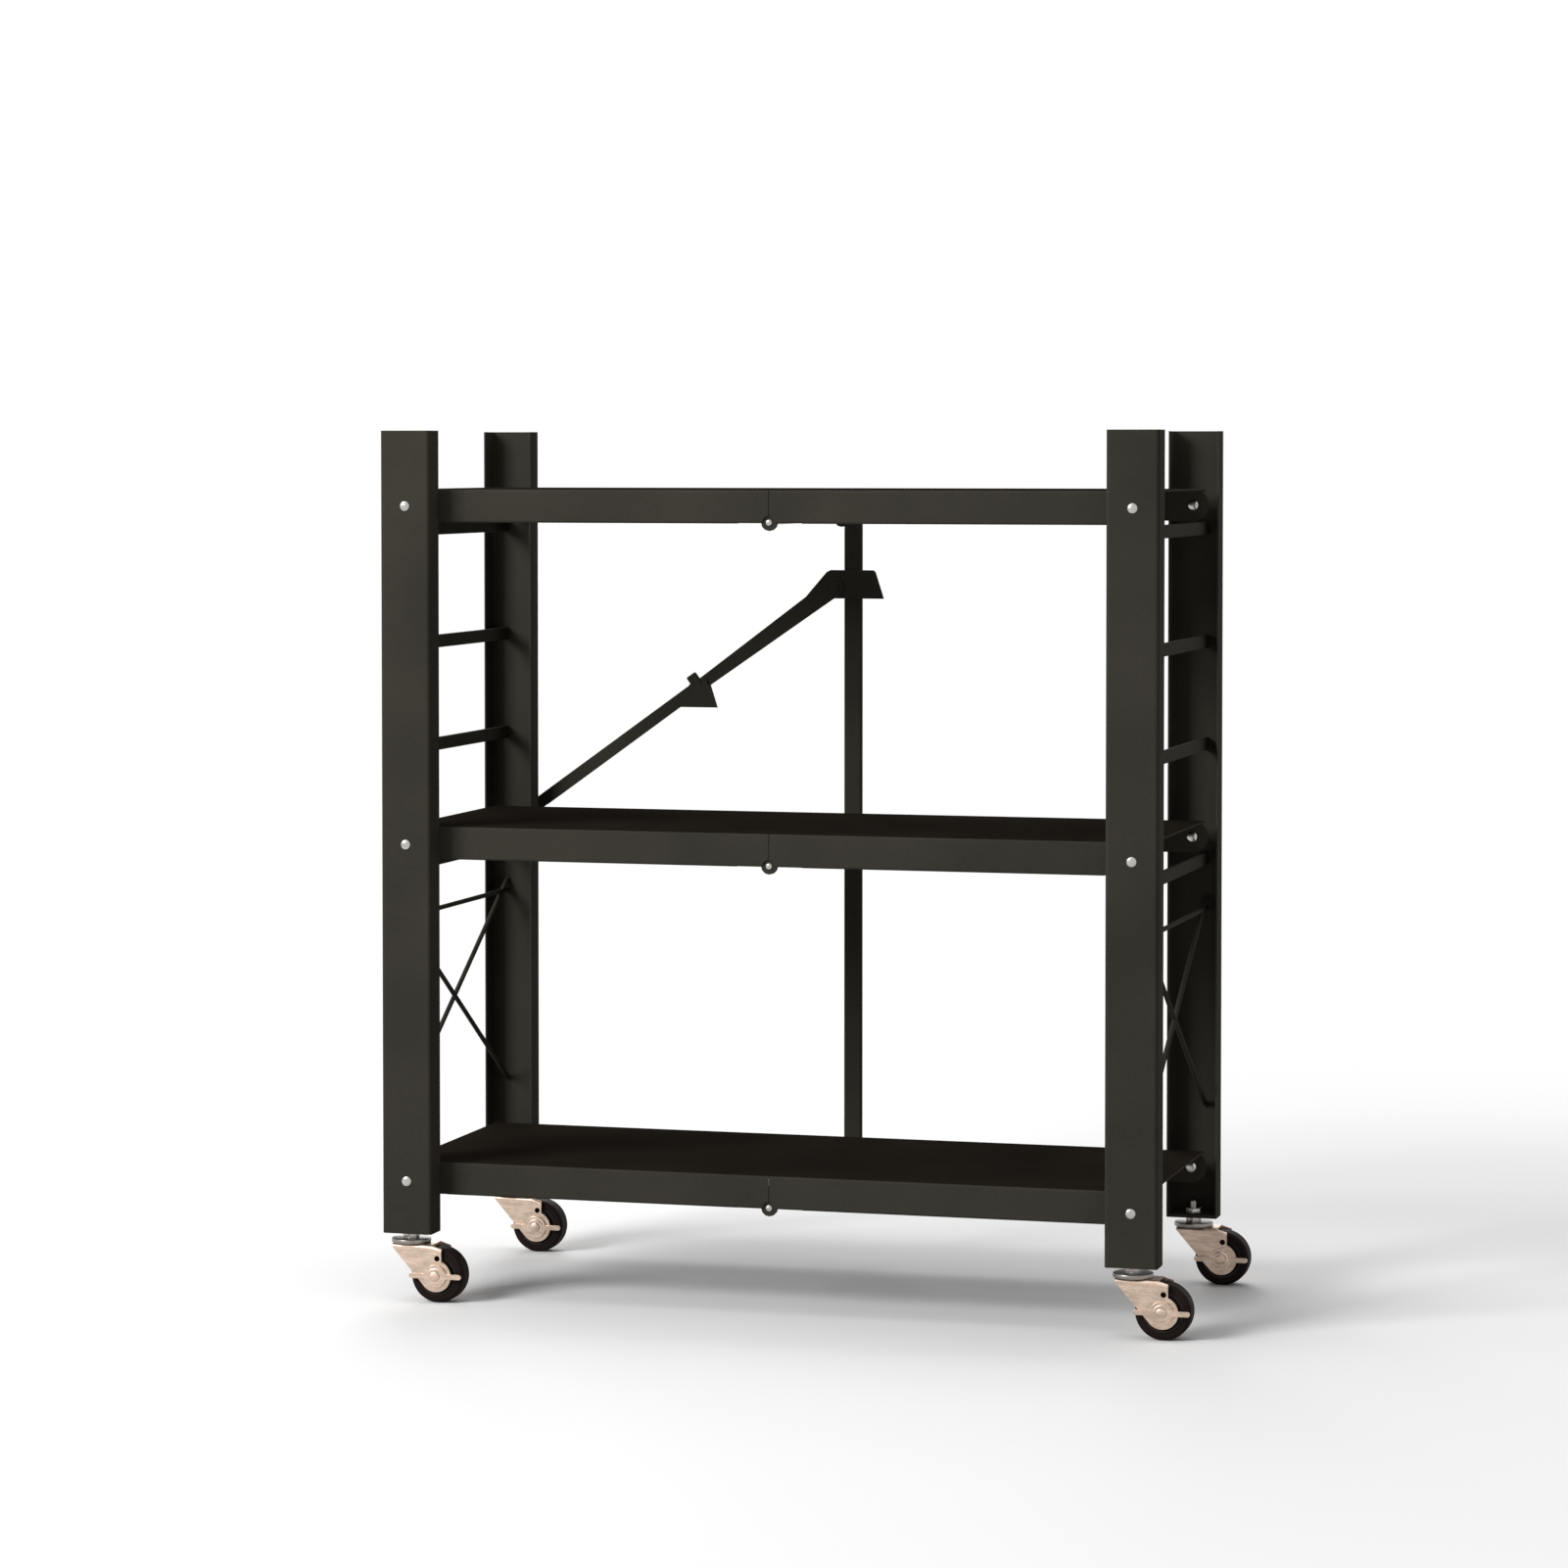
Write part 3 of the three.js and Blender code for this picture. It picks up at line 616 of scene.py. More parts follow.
class Outline:
    """An outline drawn in the XZ plane point by point, then filled and thickened along Y."""

    def __init__(self, name: str, x: float, z: float) -> None:
        """Start an outline.

        Args:
            name: the piece's name.
            x: the first point's place along X.
            z: the first point's place along Z.
        """
        Bench.clear()
        bpy.ops.mesh.primitive_plane_add(size=MM)
        self.piece = Bench.newest(name)
        Bench.edit("VERT")
        bpy.ops.mesh.merge(type="CENTER")
        bpy.ops.transform.translate(value=(x, 0, z))
        self.x, self.z = x, z

    def line(self, x: float, z: float) -> "Outline":
        """Draw a straight edge to a point."""
        step = (x - self.x, 0, z - self.z)
        bpy.ops.mesh.extrude_region_move(TRANSFORM_OT_translate={"value": step})
        self.x, self.z = x, z
        return self

    def arc(self, x: float, z: float, degrees: float, steps: int) -> "Outline":
        """Draw an arc, anticlockwise as seen from the front.

        Args:
            x: its centre along X.
            z: its centre along Z.
            degrees: the angle that it turns through.
            steps: its number of edges.

        Returns:
            The outline.
        """
        for _ in range(steps):
            angle = math.radians(degrees / steps)
            dx, dz = self.x - x, self.z - z
            self.line(
                x + dx * math.cos(angle) - dz * math.sin(angle),
                z + dx * math.sin(angle) + dz * math.cos(angle),
            )
        return self

    def plate(self, front: float, rear: float) -> bpy.types.Object:
        """Fill the outline and give it its thickness.

        Args:
            front: the plate's front face along Y.
            rear: its rear face along Y.

        Returns:
            The closed plate.
        """
        bpy.ops.mesh.select_all(action="SELECT")
        bpy.ops.mesh.remove_doubles(threshold=SAME_PLACE)
        bpy.ops.mesh.edge_face_add()
        bpy.ops.transform.translate(value=(0, front, 0))
        bpy.ops.mesh.extrude_region_move(TRANSFORM_OT_translate={"value": (0, rear - front, 0)})
        bpy.ops.object.mode_set(mode="OBJECT")
        Bench.outward(self.piece)
        return self.piece


def body_of(node: str) -> str:
    """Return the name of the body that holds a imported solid."""
    bodies = frame["record"]["behaviour"]["bodies"]
    return next(body for body, nodes in bodies.items() if node in nodes)


def finish_piece(piece: bpy.types.Object, node: str, finish: Finish) -> None:
    """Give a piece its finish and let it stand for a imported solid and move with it.

    Args:
        piece: the finished mesh.
        node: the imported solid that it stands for.
        finish: its finish.
    """
    Bench.mark(piece)
    for part, coat in zip(Part, (finish, finish.worn())):
        piece.data.materials[part.value] = coat.material()
    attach(piece, body_of(node))
    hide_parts(node)
    log.info("%s stands for %s in %s", piece.name, node, finish.name)


def finish_top(piece: bpy.types.Object, finish: Finish) -> None:
    """Give a finished piece's upward faces a finish of their own, which on the shelf decks is a
    darker coat that paints shade.
    """
    piece.data.materials.append(finish.material())
    for face in piece.data.polygons:
        if face.normal.z > UPWARD and face.material_index == Part.FIELD.value:
            face.material_index = len(Part)


def middle(node: str) -> Vector:
    """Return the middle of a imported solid's box."""
    low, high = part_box(node)
    return (low + high) / 2


def dome(radius: float, base: float, tip: float, steps: int) -> list[Station]:
    """Return the stations of a domed head.

    Args:
        radius: the head's radius.
        base: height where the dome starts.
        tip: height of its top.
        steps: how many rings it takes.

    Returns:
        Radius and height of each ring, from the tip down to the base.
    """
    shares = [TIP_SHARE + (1 - TIP_SHARE) * step / steps for step in range(steps + 1)]
    angles = [QUARTER_TURN * share for share in shares]
    return [(radius * math.sin(a), base + (tip - base) * math.cos(a)) for a in angles]


def lay_along_y(piece: bpy.types.Object, end: End, x: float, y: float, z: float) -> None:
    """Lay a piece turned about Z along Y, its height running away from one end's face."""
    turn = Matrix.Rotation(-QUARTER_TURN, 4, "X")
    if end is End.REAR:
        turn = Matrix.Rotation(2 * QUARTER_TURN, 4, "Z") @ turn
    piece.data.transform(Matrix.Translation((x, y, z)) @ turn)


@dataclass
class Channel:
    """A folded sheet channel that stands upright."""

    sheet: float
    bend: float
    bend_steps: int = 8
    edge: float = 0.25 * MM

    def fold(self, name: str, low: Vector, high: Vector, opens: int) -> bpy.types.Object:
        """Fold the channel from a block with its open sides taken off.

        Args:
            name: the piece's name.
            low: lowest corner of the channel's outside.
            high: highest corner of the channel's outside.
            opens: the sign of the side of Y that stays open.

        Returns:
            The channel.
        """
        piece = Bench.block(name, low, high)
        Bench.pick_faces(
            piece, lambda centre, normal: max(abs(normal.z), normal.y * opens) > FACING
        )
        bpy.ops.mesh.delete(type="FACE")
        Bench.clear()
        face = low.y if opens > 0 else high.y
        Bench.round_edges(
            piece,
            self.bend,
            self.bend_steps,
            lambda a, b: abs(a.y - face) < MM and abs(b.y - face) < MM and abs(a.z - b.z) > MM,
        )
        Bench.apply(piece, "SOLIDIFY", thickness=self.sheet, offset=-1, use_even_offset=True)
        Bench.soften(piece, self.edge)
        return piece


@dataclass
class Rivet:
    """An end pivot: domed head, shank, bush and clenched tail."""

    head_radius: float = 4.6 * MM
    head_height: float = 1.7 * MM
    shank_radius: float = 3 * MM
    bush_radius: float = 5 * MM
    tail_radius: float = 4.8 * MM
    tail_height: float = 1.4 * MM
    bush_front: float = 1.8 * MM
    bush_rear: float = 25.7 * MM
    tail_place: float = 27.5 * MM
    washer_depth: float = 2.6 * MM
    chamfer: float = 0.3 * MM
    head_rim: float = 0.2 * MM
    undercut: float = 0.1 * MM
    head_steps: int = 7
    tail_steps: int = 5
    facets: int = 48

    def model(self, name: str, held: float) -> bpy.types.Object:
        """Turn the rivet with the post's face at height 0.

        Args:
            name: the piece's name.
            held: how far the head stands off the face.

        Returns:
            The rivet, along Z.
        """
        tip = -held - self.head_height
        stations = dome(self.head_radius, -held - self.head_rim, tip, self.head_steps)
        stations.append((self.head_radius - self.undercut, -held))
        stations.append((self.shank_radius, -held))
        if held:
            washer = -held + self.washer_depth
            stations += [(self.shank_radius, washer), (self.bush_radius, washer)]
            stations += [(self.bush_radius, -self.chamfer), (self.shank_radius, -self.chamfer)]
        stations += [
            (self.shank_radius, self.bush_front),
            (self.bush_radius - self.chamfer, self.bush_front),
            (self.bush_radius, self.bush_front + self.chamfer),
            (self.bush_radius, self.bush_rear - self.chamfer),
            (self.bush_radius - self.chamfer, self.bush_rear),
            (self.shank_radius, self.bush_rear),
            (self.shank_radius, self.tail_place),
            (self.tail_radius - self.chamfer, self.tail_place),
        ]
        base, tip = self.tail_place + self.chamfer, self.tail_place + self.tail_height
        stations += reversed(dome(self.tail_radius, base, tip, self.tail_steps))
        piece = Bench.turned(name, stations, self.facets)
        Bench.smooth(piece)
        return piece


@dataclass
class SideFrame:
    """Two channel posts with their rails, wires and end pivots."""

    side: Side
    sheet: float = 1.5 * MM
    bend: float = 3.5 * MM
    foot_plate: float = 3 * MM
    overlap: float = 0.1 * MM
    plate_edge: float = 0.3 * MM
    rail_edge: float = 0.2 * MM
    wire_edge: float = 0.3 * MM
    wire_facets: int = 20
    wire_radius: float = 2.2 * MM
    tie_drop: float = 11 * MM
    bead: float = 1.5 * MM
    bead_share: float = 0.45
    crossing_shares: Triple = (0.98, 1.9, 1.25)
    collar_shares: Triple = (1.4, 0.5, 1.5)
    weld_rings: int = 12

    def build(self) -> None:
        """Make every piece of the frame."""
        for end in End:
            self.post(end)
        for rail in ("cross_rail_top", "cross_rail_middle", "guard_rail_1", "guard_rail_2"):
            self.rail(f"{rail}_{self.side.value}")
        self.brace()

    def post(self, end: End) -> None:
        """Fold a post and weld in the plate that takes the caster."""
        node = f"post_{end.label}_{self.side.value}"
        low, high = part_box(node)
        opens = -end.value
        piece = Channel(self.sheet, self.bend).fold(node + "_piece", low, high, opens)
        inner = self.sheet - self.overlap
        near = low.y + (inner if opens > 0 else 0)
        far = high.y - (inner if opens < 0 else 0)
        top = low.z + self.foot_plate
        plate = Bench.block("plate", (low.x + inner, near, low.z), (high.x - inner, far, top))
        Bench.soften(plate, self.plate_edge)
        finish_piece(Bench.gather(piece, plate), node, BLACK_COAT)

    def rail(self, node: str) -> None:
        """Dress a rail and run a weld bead down each side of its two ends."""
        piece = Bench.refined(node, self.rail_edge)
        low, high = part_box(node)
        half = (self.bead, self.bead, self.bead_share * (high.z - low.z))
        mid_z = (low.z + high.z) / 2
        beads = [
            self.weld(Vector((x, y, mid_z)), half)
            for x in (low.x, high.x)
            for y in (low.y, high.y)
        ]
        finish_piece(Bench.gather(piece, *beads), node, BLACK_COAT)

    def brace(self) -> None:
        """Lay the tie wire and the crossed wires, welded to the posts and where they cross."""
        node = f"brace_wires_{self.side.value}"
        low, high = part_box(node)
        x = (low.x + high.x) / 2
        radius = self.wire_radius
        reach = (high.y - low.y) / 2
        mid_y = (low.y + high.y) / 2
        slope_end = radius / math.cos(math.atan2(high.z - low.z, high.y - low.y))
        foot, top = low.z + slope_end, high.z - slope_end
        tie = top - self.tie_drop
        runs = [(tie, tie), (top, foot), (foot, top)]
        wires = [self.wire(x, mid_y, reach, *run) for run in runs]
        crossing = tuple(share * radius for share in self.crossing_shares)
        welds = [self.weld(Vector((x, mid_y, (foot + top) / 2)), crossing)]
        collar = tuple(share * radius for share in self.collar_shares)
        for ends in runs:
            for y, z in zip((low.y, high.y), ends):
                welds.append(self.weld(Vector((x, y, z)), collar))
        piece = Bench.gather(wires[0], *wires[1:], *welds)
        piece.name = node + "_piece"
        finish_piece(piece, node, BLACK_COAT)

    def wire(
        self, x: float, mid_y: float, reach: float, z_front: float, z_rear: float
    ) -> bpy.types.Object:
        """Lay one straight wire between the posts.

        Args:
            x: its place along X.
            mid_y: its middle along Y.
            reach: from its middle to each end along Y.
            z_front: height of its front end.
            z_rear: height of its rear end.

        Returns:
            The wire.
        """
        Bench.clear()
        rise = z_rear - z_front
        angle = math.atan2(rise, 2 * reach)
        length = 2 * (reach / math.cos(angle) - self.wire_radius * abs(math.tan(angle)))
        bpy.ops.mesh.primitive_cylinder_add(
            vertices=self.wire_facets,
            radius=self.wire_radius,
            depth=length,
            location=(x, mid_y, (z_front + z_rear) / 2),
            rotation=(angle - QUARTER_TURN, 0, 0),
        )
        piece = Bench.newest("wire")
        Bench.soften(piece, self.wire_edge)
        return piece

    def weld(self, place: Vector, half: Triple) -> bpy.types.Object:
        """Add a rounded weld with its half sizes along each axis."""
        Bench.clear()
        bpy.ops.mesh.primitive_uv_sphere_add(
            segments=self.wire_facets, ring_count=self.weld_rings, radius=1
        )
        piece = Bench.newest("weld")
        piece.data.transform(Matrix.Translation(place) @ Matrix.Diagonal((*half, 1)))
        Bench.mark(piece)
        Bench.smooth(piece)
        return piece


@dataclass
class Shelf:
    """Two hinged leaves with their end pivots and seam pin."""

    level: Level
    sheet: float = 1.2 * MM
    edge: float = 0.3 * MM
    pin_radius: float = 2.1 * MM
    collar_radius: float = 5 * MM
    head_radius: float = 3 * MM
    head_height: float = 1.6 * MM
    head_rim: float = 0.3 * MM
    head_steps: int = 6
    stay_head: float = 4.3 * MM
    facets: int = 40

    def build(self) -> None:
        """Make every piece of the shelf."""
        for side in Side:
            node = f"leaf_{self.level.value}_{side.value}"
            leaf = Bench.refined(node, self.edge)
            finish_piece(leaf, node, BLACK_COAT)
            # the leaf's upward faces take the darker matt coat, which is painted shade
            finish_top(leaf, DECK_SHADE_COAT)
            for end in End:
                self.pivot(side, end)
        self.pin()

    def pivot(self, side: Side, end: End) -> None:
        """Set one end pivot with its head on the post's face."""
        node = f"pivot_{self.level.value}_{end.label}_{side.value}"
        holds_stay = (self.level, side, end) == (Level.MIDDLE, Side.LEFT, End.REAR)
        piece = Rivet().model(node + "_piece", self.stay_head if holds_stay else 0)
        low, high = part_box(f"post_{end.label}_{side.value}")
        face = low.y if end is End.FRONT else high.y
        place = middle(node)
        lay_along_y(piece, end, place.x, face, place.z)
        finish_piece(piece, node, BRIGHT_ZINC)

    def pin(self) -> None:
        """Turn the seam pin, which runs from the front lugs to the upright bar."""
        node = f"hinge_pin_{self.level.value}"
        low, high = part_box(node)
        collar_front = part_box(f"leaf_{self.level.value}_left")[1].y - self.sheet
        collar_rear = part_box("centre_bar")[0].y - RUNNING
        head = low.y + self.head_height
        tail = high.y - self.head_height
        stations = dome(self.head_radius, head - self.head_rim, low.y, self.head_steps)
        stations += [
            (self.head_radius, head),
            (self.pin_radius, head),
            (self.pin_radius, collar_front),
            (self.collar_radius, collar_front),
            (self.collar_radius, collar_rear),
            (self.pin_radius, collar_rear),
            (self.pin_radius, tail),
            (self.head_radius, tail),
        ]
        rear_head = dome(self.head_radius, tail + self.head_rim, high.y, self.head_steps)
        piece = Bench.turned(node + "_piece", [*stations, *reversed(rear_head)], self.facets)
        Bench.smooth(piece)
        place = middle(node)
        lay_along_y(piece, End.FRONT, place.x, 0, place.z)
        finish_piece(piece, node, BRIGHT_ZINC)


@dataclass
class RearLinkage:
    """The upright bar, its bracket and the sliding stay."""

    sheet: float = 1.5 * MM
    bend: float = 2.2 * MM
    bend_steps: int = 6
    edge: float = 0.25 * MM
    pin_hole: float = 2.4 * MM
    hole_depth: float = 6 * MM

    def build(self) -> None:
        """Make the bar, the bracket, both stays and the keeper."""
        low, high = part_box("centre_bar")
        channel = Channel(self.sheet, self.bend, self.bend_steps)
        bar = channel.fold("centre_bar_piece", low, high, 1)
        for level in Level:
            pin = middle(f"hinge_pin_{level.value}")
            Bench.drill(bar, Vector((pin.x, low.y, pin.z)), self.pin_hole, self.hole_depth)
        Bench.smooth(bar)
        finish_piece(bar, "centre_bar", BLACK_COAT)
        for node in ("stay_bracket", "stay_upper", "stay_lower", "stay_keeper"):
            finish_piece(Bench.refined(node, self.edge), node, BLACK_COAT)


@dataclass
class Caster:
    """A braked swivel caster, modelled round its swivel axis.

    Attributes:
        axle_place: the middle of the axle of the caster that is modelled.
        stem_place: its swivel axis on the floor.
    """

    axle_place: Vector = field(init=False)
    stem_place: Vector = field(init=False)
    fork_sheet: float = 2 * MM
    fork_bend: float = 3 * MM
    fork_edge: float = 0.3 * MM
    boss_radius: float = 14.5 * MM
    boss_steps: int = 30
    bend_steps: int = 6
    inner_steps: int = 4
    trail: float = 28 * MM
    fork_lead: float = 14 * MM
    crown_tail: float = 24 * MM
    cheek_tail: float = 33.5 * MM
    cheek_tail_drop: float = 3 * MM
    lead_degrees: float = 215
    sight_radius: float = 2.6 * MM
    sight_rise: float = 16 * MM
    sight_tail: float = 1.5 * MM
    foot_plate: float = 3 * MM
    nut_flats: float = 13 * MM
    nut_height: float = 4.5 * MM
    nut_edge: float = 0.6 * MM
    nut_overlap: float = 0.2 * MM
    race_radius: float = 18 * MM
    race_height: float = 4 * MM
    race_rim: float = 1.1 * MM
    race_rim_share: float = 0.3
    stem_radius: float = 4 * MM
    stem_chamfer: float = 0.8 * MM
    stem_facets: int = 56
    kingpin_radius: float = 6.5 * MM
    kingpin_height: float = 2 * MM
    kingpin_bevel: Station = (1.2 * MM, 0.9 * MM)
    wheel_half: float = 10 * MM
    tread_round: float = 3.5 * MM
    tread_steps: int = 6
    tread_lip: float = 0.8 * MM
    tread_inset: Station = (2.5 * MM, 2 * MM)
    tread_facets: int = 72
    rim_radius: float = 18 * MM
    rim_gap: float = 0.2 * MM
    rim_lip: Station = (1.2 * MM, 0.4 * MM)
    rim_sink: float = 0.3 * MM
    rim_wall: float = 2 * MM
    dish_depth: float = 3 * MM
    hub_radius: float = 9 * MM
    hub_chamfer: float = 0.5 * MM
    hub_slope: float = 0.6 * MM
    core_facets: int = 64
    axle_radius: float = 3 * MM
    axle_head: float = 4.5 * MM
    axle_head_height: float = 1.3 * MM
    axle_rim: float = 0.5 * MM
    axle_steps: int = 6
    axle_facets: int = 48
    lever_hub: float = 10.4 * MM
    lever_crest: float = 7.4 * MM
    lever_crest_height: float = 0.5 * MM
    crest_slope: Station = (0.4 * MM, 0.1 * MM)
    crest_root: float = 0.4 * MM
    lever_reach: float = 25 * MM
    lever_height: float = 4.6 * MM
    lever_edge: float = 0.2 * MM
    hub_steps: int = 18
    ear_steps: int = 10
    edge_steps: int = 3
    through: float = 60 * MM

    def build(self) -> None:
        """Model one caster at the front left and copy it to the other three posts."""
        first = "front_left"
        origin = middle(f"caster_stem_{first}")
        self.axle_place = middle(f"wheel_{first}")
        self.stem_place = Vector((origin.x, origin.y, 0))
        patterns = [
            ("caster_stem", self.stem(first), STEM_STEEL),
            ("caster_fork", self.fork(first), WARM_NICKEL),
            ("wheel", self.tread(first), TREAD_RUBBER),
            ("wheel", self.core(first), CORE_PLASTIC),
            ("axle", self.axle(first), WARM_NICKEL),
            ("brake_lever", self.lever(first), WARM_NICKEL),
        ]
        for end in End:
            for side in Side:
                corner = f"{end.label}_{side.value}"
                place = middle(f"caster_stem_{corner}")
                shift = Matrix.Translation((place.x - origin.x, place.y - origin.y, 0))
                for node, pattern, finish in patterns:
                    name = f"{pattern.name.removesuffix('_pattern')}_{corner}_piece"
                    finish_piece(Bench.copy(pattern, name, shift), f"{node}_{corner}", finish)
        for _, pattern, _ in patterns:
            bpy.data.objects.remove(pattern)

    def nut(self, low: float, high: float) -> bpy.types.Object:
        """Add a nut with broken corners between two heights."""
        corner = self.nut_flats / math.sqrt(3)
        piece = Bench.turned("nut", [(corner, low), (corner, high)], 6)
        Bench.soften(piece, self.nut_edge, self.edge_steps)
        return piece

    def stem(self, corner: str) -> bpy.types.Object:
        """Turn the stem with its race and kingpin end and add its two nuts."""
        low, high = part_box(f"caster_stem_{corner}")
        post_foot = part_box(f"post_{corner}")[0].z
        nut_top = post_foot - RUNNING
        race_top = nut_top - self.nut_height
        race_foot = race_top - self.race_height
        head_top = low.z + self.kingpin_height
        bevel_width, bevel_height = self.kingpin_bevel
        rim, step = self.race_rim, self.race_rim_share * self.race_rim
        stations = [
            (self.kingpin_radius - bevel_width, low.z),
            (self.kingpin_radius, low.z + bevel_height),
            (self.kingpin_radius, head_top),
            (self.stem_radius, head_top),
            (self.stem_radius, race_foot),
            (self.race_radius - rim, race_foot),
            (self.race_radius - step, race_foot + step),
            (self.race_radius, race_foot + rim),
            (self.race_radius, race_top - rim),
            (self.race_radius - step, race_top - step),
            (self.race_radius - rim, race_top),
            (self.stem_radius, race_top),
            (self.stem_radius, high.z - self.stem_chamfer),
            (self.stem_radius - self.stem_chamfer, high.z),
        ]
        shank = Bench.turned("caster_stem_pattern", stations, self.stem_facets)
        Bench.smooth(shank)
        lock_base = post_foot + self.foot_plate + RUNNING
        nuts = [
            self.nut(race_top - self.nut_overlap, nut_top),
            self.nut(lock_base, lock_base + self.nut_height),
        ]
        piece = Bench.gather(shank, *nuts)
        piece.data.transform(Matrix.Translation(self.stem_place))
        return piece

    def fork(self, corner: str) -> bpy.types.Object:
        """Fold the fork: a block of the cheeks' outline, hollowed from below and pierced."""
        low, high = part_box(f"caster_fork_{corner}")
        x, wheel = self.stem_place.x, self.axle_place
        crown = high.z
        lead = math.radians(self.lead_degrees)
        outline = Outline("caster_fork_pattern", x + self.crown_tail, crown)
        outline.line(x - self.fork_lead, crown)
        outline.line(x - self.fork_lead, crown - self.fork_sheet)
        outline.line(
            wheel.x + self.boss_radius * math.cos(lead), wheel.z + self.boss_radius * math.sin(lead)
        )
        tail = math.degrees(math.acos((self.cheek_tail - self.trail) / self.boss_radius))
        outline.arc(wheel.x, wheel.z, 360 + tail - self.lead_degrees, self.boss_steps)
        outline.line(x + self.cheek_tail, crown - self.cheek_tail_drop)
        piece = outline.plate(low.y, high.y)
        sides = (low.y, high.y)
        Bench.round_edges(
            piece,
            self.fork_bend,
            self.bend_steps,
            lambda a, b: abs(a.y - b.y) < SAME_PLACE
            and min(abs(a.y - side) for side in sides) < SAME_PLACE
            and min(a.z, b.z) > crown - self.cheek_tail_drop - SAME_PLACE
            and abs(a.x - b.x) > MM,
        )
        inside = Bench.block(
            "inside",
            (low.x - MM, low.y + self.fork_sheet, low.z - MM),
            (high.x + MM, high.y - self.fork_sheet, crown - self.fork_sheet),
        )
        Bench.round_edges(
            inside,
            self.fork_bend - self.fork_sheet,
            self.inner_steps,
            lambda a, b: min(a.z, b.z) > crown - self.fork_bend and abs(a.x - b.x) > MM,
        )
        Bench.cut(piece, inside)
        behind = Bench.block(
            "behind",
            (x + self.crown_tail, low.y + self.fork_sheet, low.z - MM),
            (high.x + MM, high.y - self.fork_sheet, crown + MM),
        )
        Bench.cut(piece, behind)
        sight = wheel + Vector((self.sight_tail, 0, self.sight_rise))
        Bench.drill(piece, wheel, self.axle_radius + RUNNING, self.through)
        Bench.drill(piece, sight, self.sight_radius, self.through)
        top = Vector((x, wheel.y, crown))
        depth = 4 * self.fork_sheet
        Bench.drill(piece, top, self.stem_radius + RUNNING, depth, upright=True)
        Bench.soften(piece, self.fork_edge, self.edge_steps)
        return piece

    def tread(self, corner: str) -> bpy.types.Object:
        """Turn the rubber tread with its rounded shoulders."""
        low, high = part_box(f"wheel_{corner}")
        radius = (high.z - low.z) / 2
        half, curve = self.wheel_half, self.tread_round
        rear = [(self.rim_radius, half - self.tread_lip), (self.rim_radius, half)]
        for step in range(self.tread_steps + 1):
            angle = QUARTER_TURN * step / self.tread_steps
            across, along = curve * (1 - math.sin(angle)), curve * (1 - math.cos(angle))
            rear.append((radius - across, half - along))
        depth, inset = self.tread_inset
        rear.insert(0, (self.rim_radius - depth, half - inset))
        return self.ring("tread_pattern", rear, self.tread_facets)

    def core(self, corner: str) -> bpy.types.Object:
        """Turn the moulded core with its dished web and hub."""
        low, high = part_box(f"wheel_{corner}")
        hub_half = (high.y - low.y) / 2
        half = self.wheel_half
        rim = self.rim_radius - self.rim_gap
        lip_width, lip_depth = self.rim_lip
        rear = [
            (self.axle_radius + RUNNING, hub_half),
            (self.hub_radius - self.hub_chamfer, hub_half),
            (self.hub_radius, hub_half - self.hub_chamfer),
            (self.hub_radius + self.hub_slope, half - self.dish_depth),
            (rim - self.rim_wall, half - self.dish_depth),
            (rim - lip_width, half - lip_depth),
            (rim, half - self.rim_sink),
        ]
        return self.ring("wheel_core_pattern", rear, self.core_facets)

    def axle(self, corner: str) -> bpy.types.Object:
        """Turn the axle bolt with its domed ends."""
        low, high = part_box(f"axle_{corner}")
        mid = self.axle_place.y
        head = self.axle_head_height
        front, rear = low.y - mid, high.y - mid
        stations = dome(self.axle_head, front + head - self.axle_rim, front, self.axle_steps)
        stations += [
            (self.axle_head, front + head),
            (self.axle_radius, front + head),
            (self.axle_radius, rear - head),
            (self.axle_head, rear - head),
        ]
        rear_dome = dome(self.axle_head, rear - head + self.axle_rim, rear, self.axle_steps)
        stations += reversed(rear_dome)
        return self.settle(Bench.turned("axle_pattern", stations, self.axle_facets))

    def lever(self, corner: str) -> bpy.types.Object:
        """Cut the brake lever: a round hub with an ear on each side of the axle."""
        low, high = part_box(f"brake_lever_{corner}")
        x, z = self.axle_place.x, self.axle_place.z
        half = self.lever_height / 2
        lift = math.degrees(math.asin(half / self.lever_hub))
        root = math.sqrt(self.lever_hub**2 - half**2)
        straight = self.lever_reach - half
        outline = Outline("brake_lever_pattern", x + root, z + half)
        outline.arc(x, z, 180 - 2 * lift, self.hub_steps)
        outline.line(x - straight, z + half)
        outline.arc(x - straight, z, 180, self.ear_steps)
        outline.line(x - root, z - half)
        outline.arc(x, z, 180 - 2 * lift, self.hub_steps)
        outline.line(x + straight, z - half)
        outline.arc(x + straight, z, 180, self.ear_steps)
        piece = outline.plate(low.y + self.lever_crest_height, high.y)
        slope_width, slope_foot = self.crest_slope
        crest = [
            (self.lever_crest - slope_width, -self.lever_crest_height),
            (self.lever_crest, slope_foot),
            (self.lever_crest, self.crest_root),
        ]
        step = Bench.turned("crest", crest, self.axle_facets)
        lay_along_y(step, End.FRONT, x, low.y + self.lever_crest_height, z)
        Bench.cut(piece, step, "UNION")
        Bench.drill(piece, self.axle_place, self.axle_radius + RUNNING, self.through)
        Bench.soften(piece, self.lever_edge, self.edge_steps)
        return piece

    def ring(self, name: str, half: Sequence[Station], facets: int) -> bpy.types.Object:
        """Turn a bored piece from half of its profile and that half's mirror image.

        Args:
            name: the piece's name.
            half: radius and height of the upper half's rings, from the inside out.
            facets: sides of each ring.

        Returns:
            The piece, laid along the axle.
        """
        mirrored = [(radius, -height) for radius, height in half]
        stations = [*mirrored, *reversed(half), mirrored[0]]
        return self.settle(Bench.turned(name, stations, facets, bored=True))

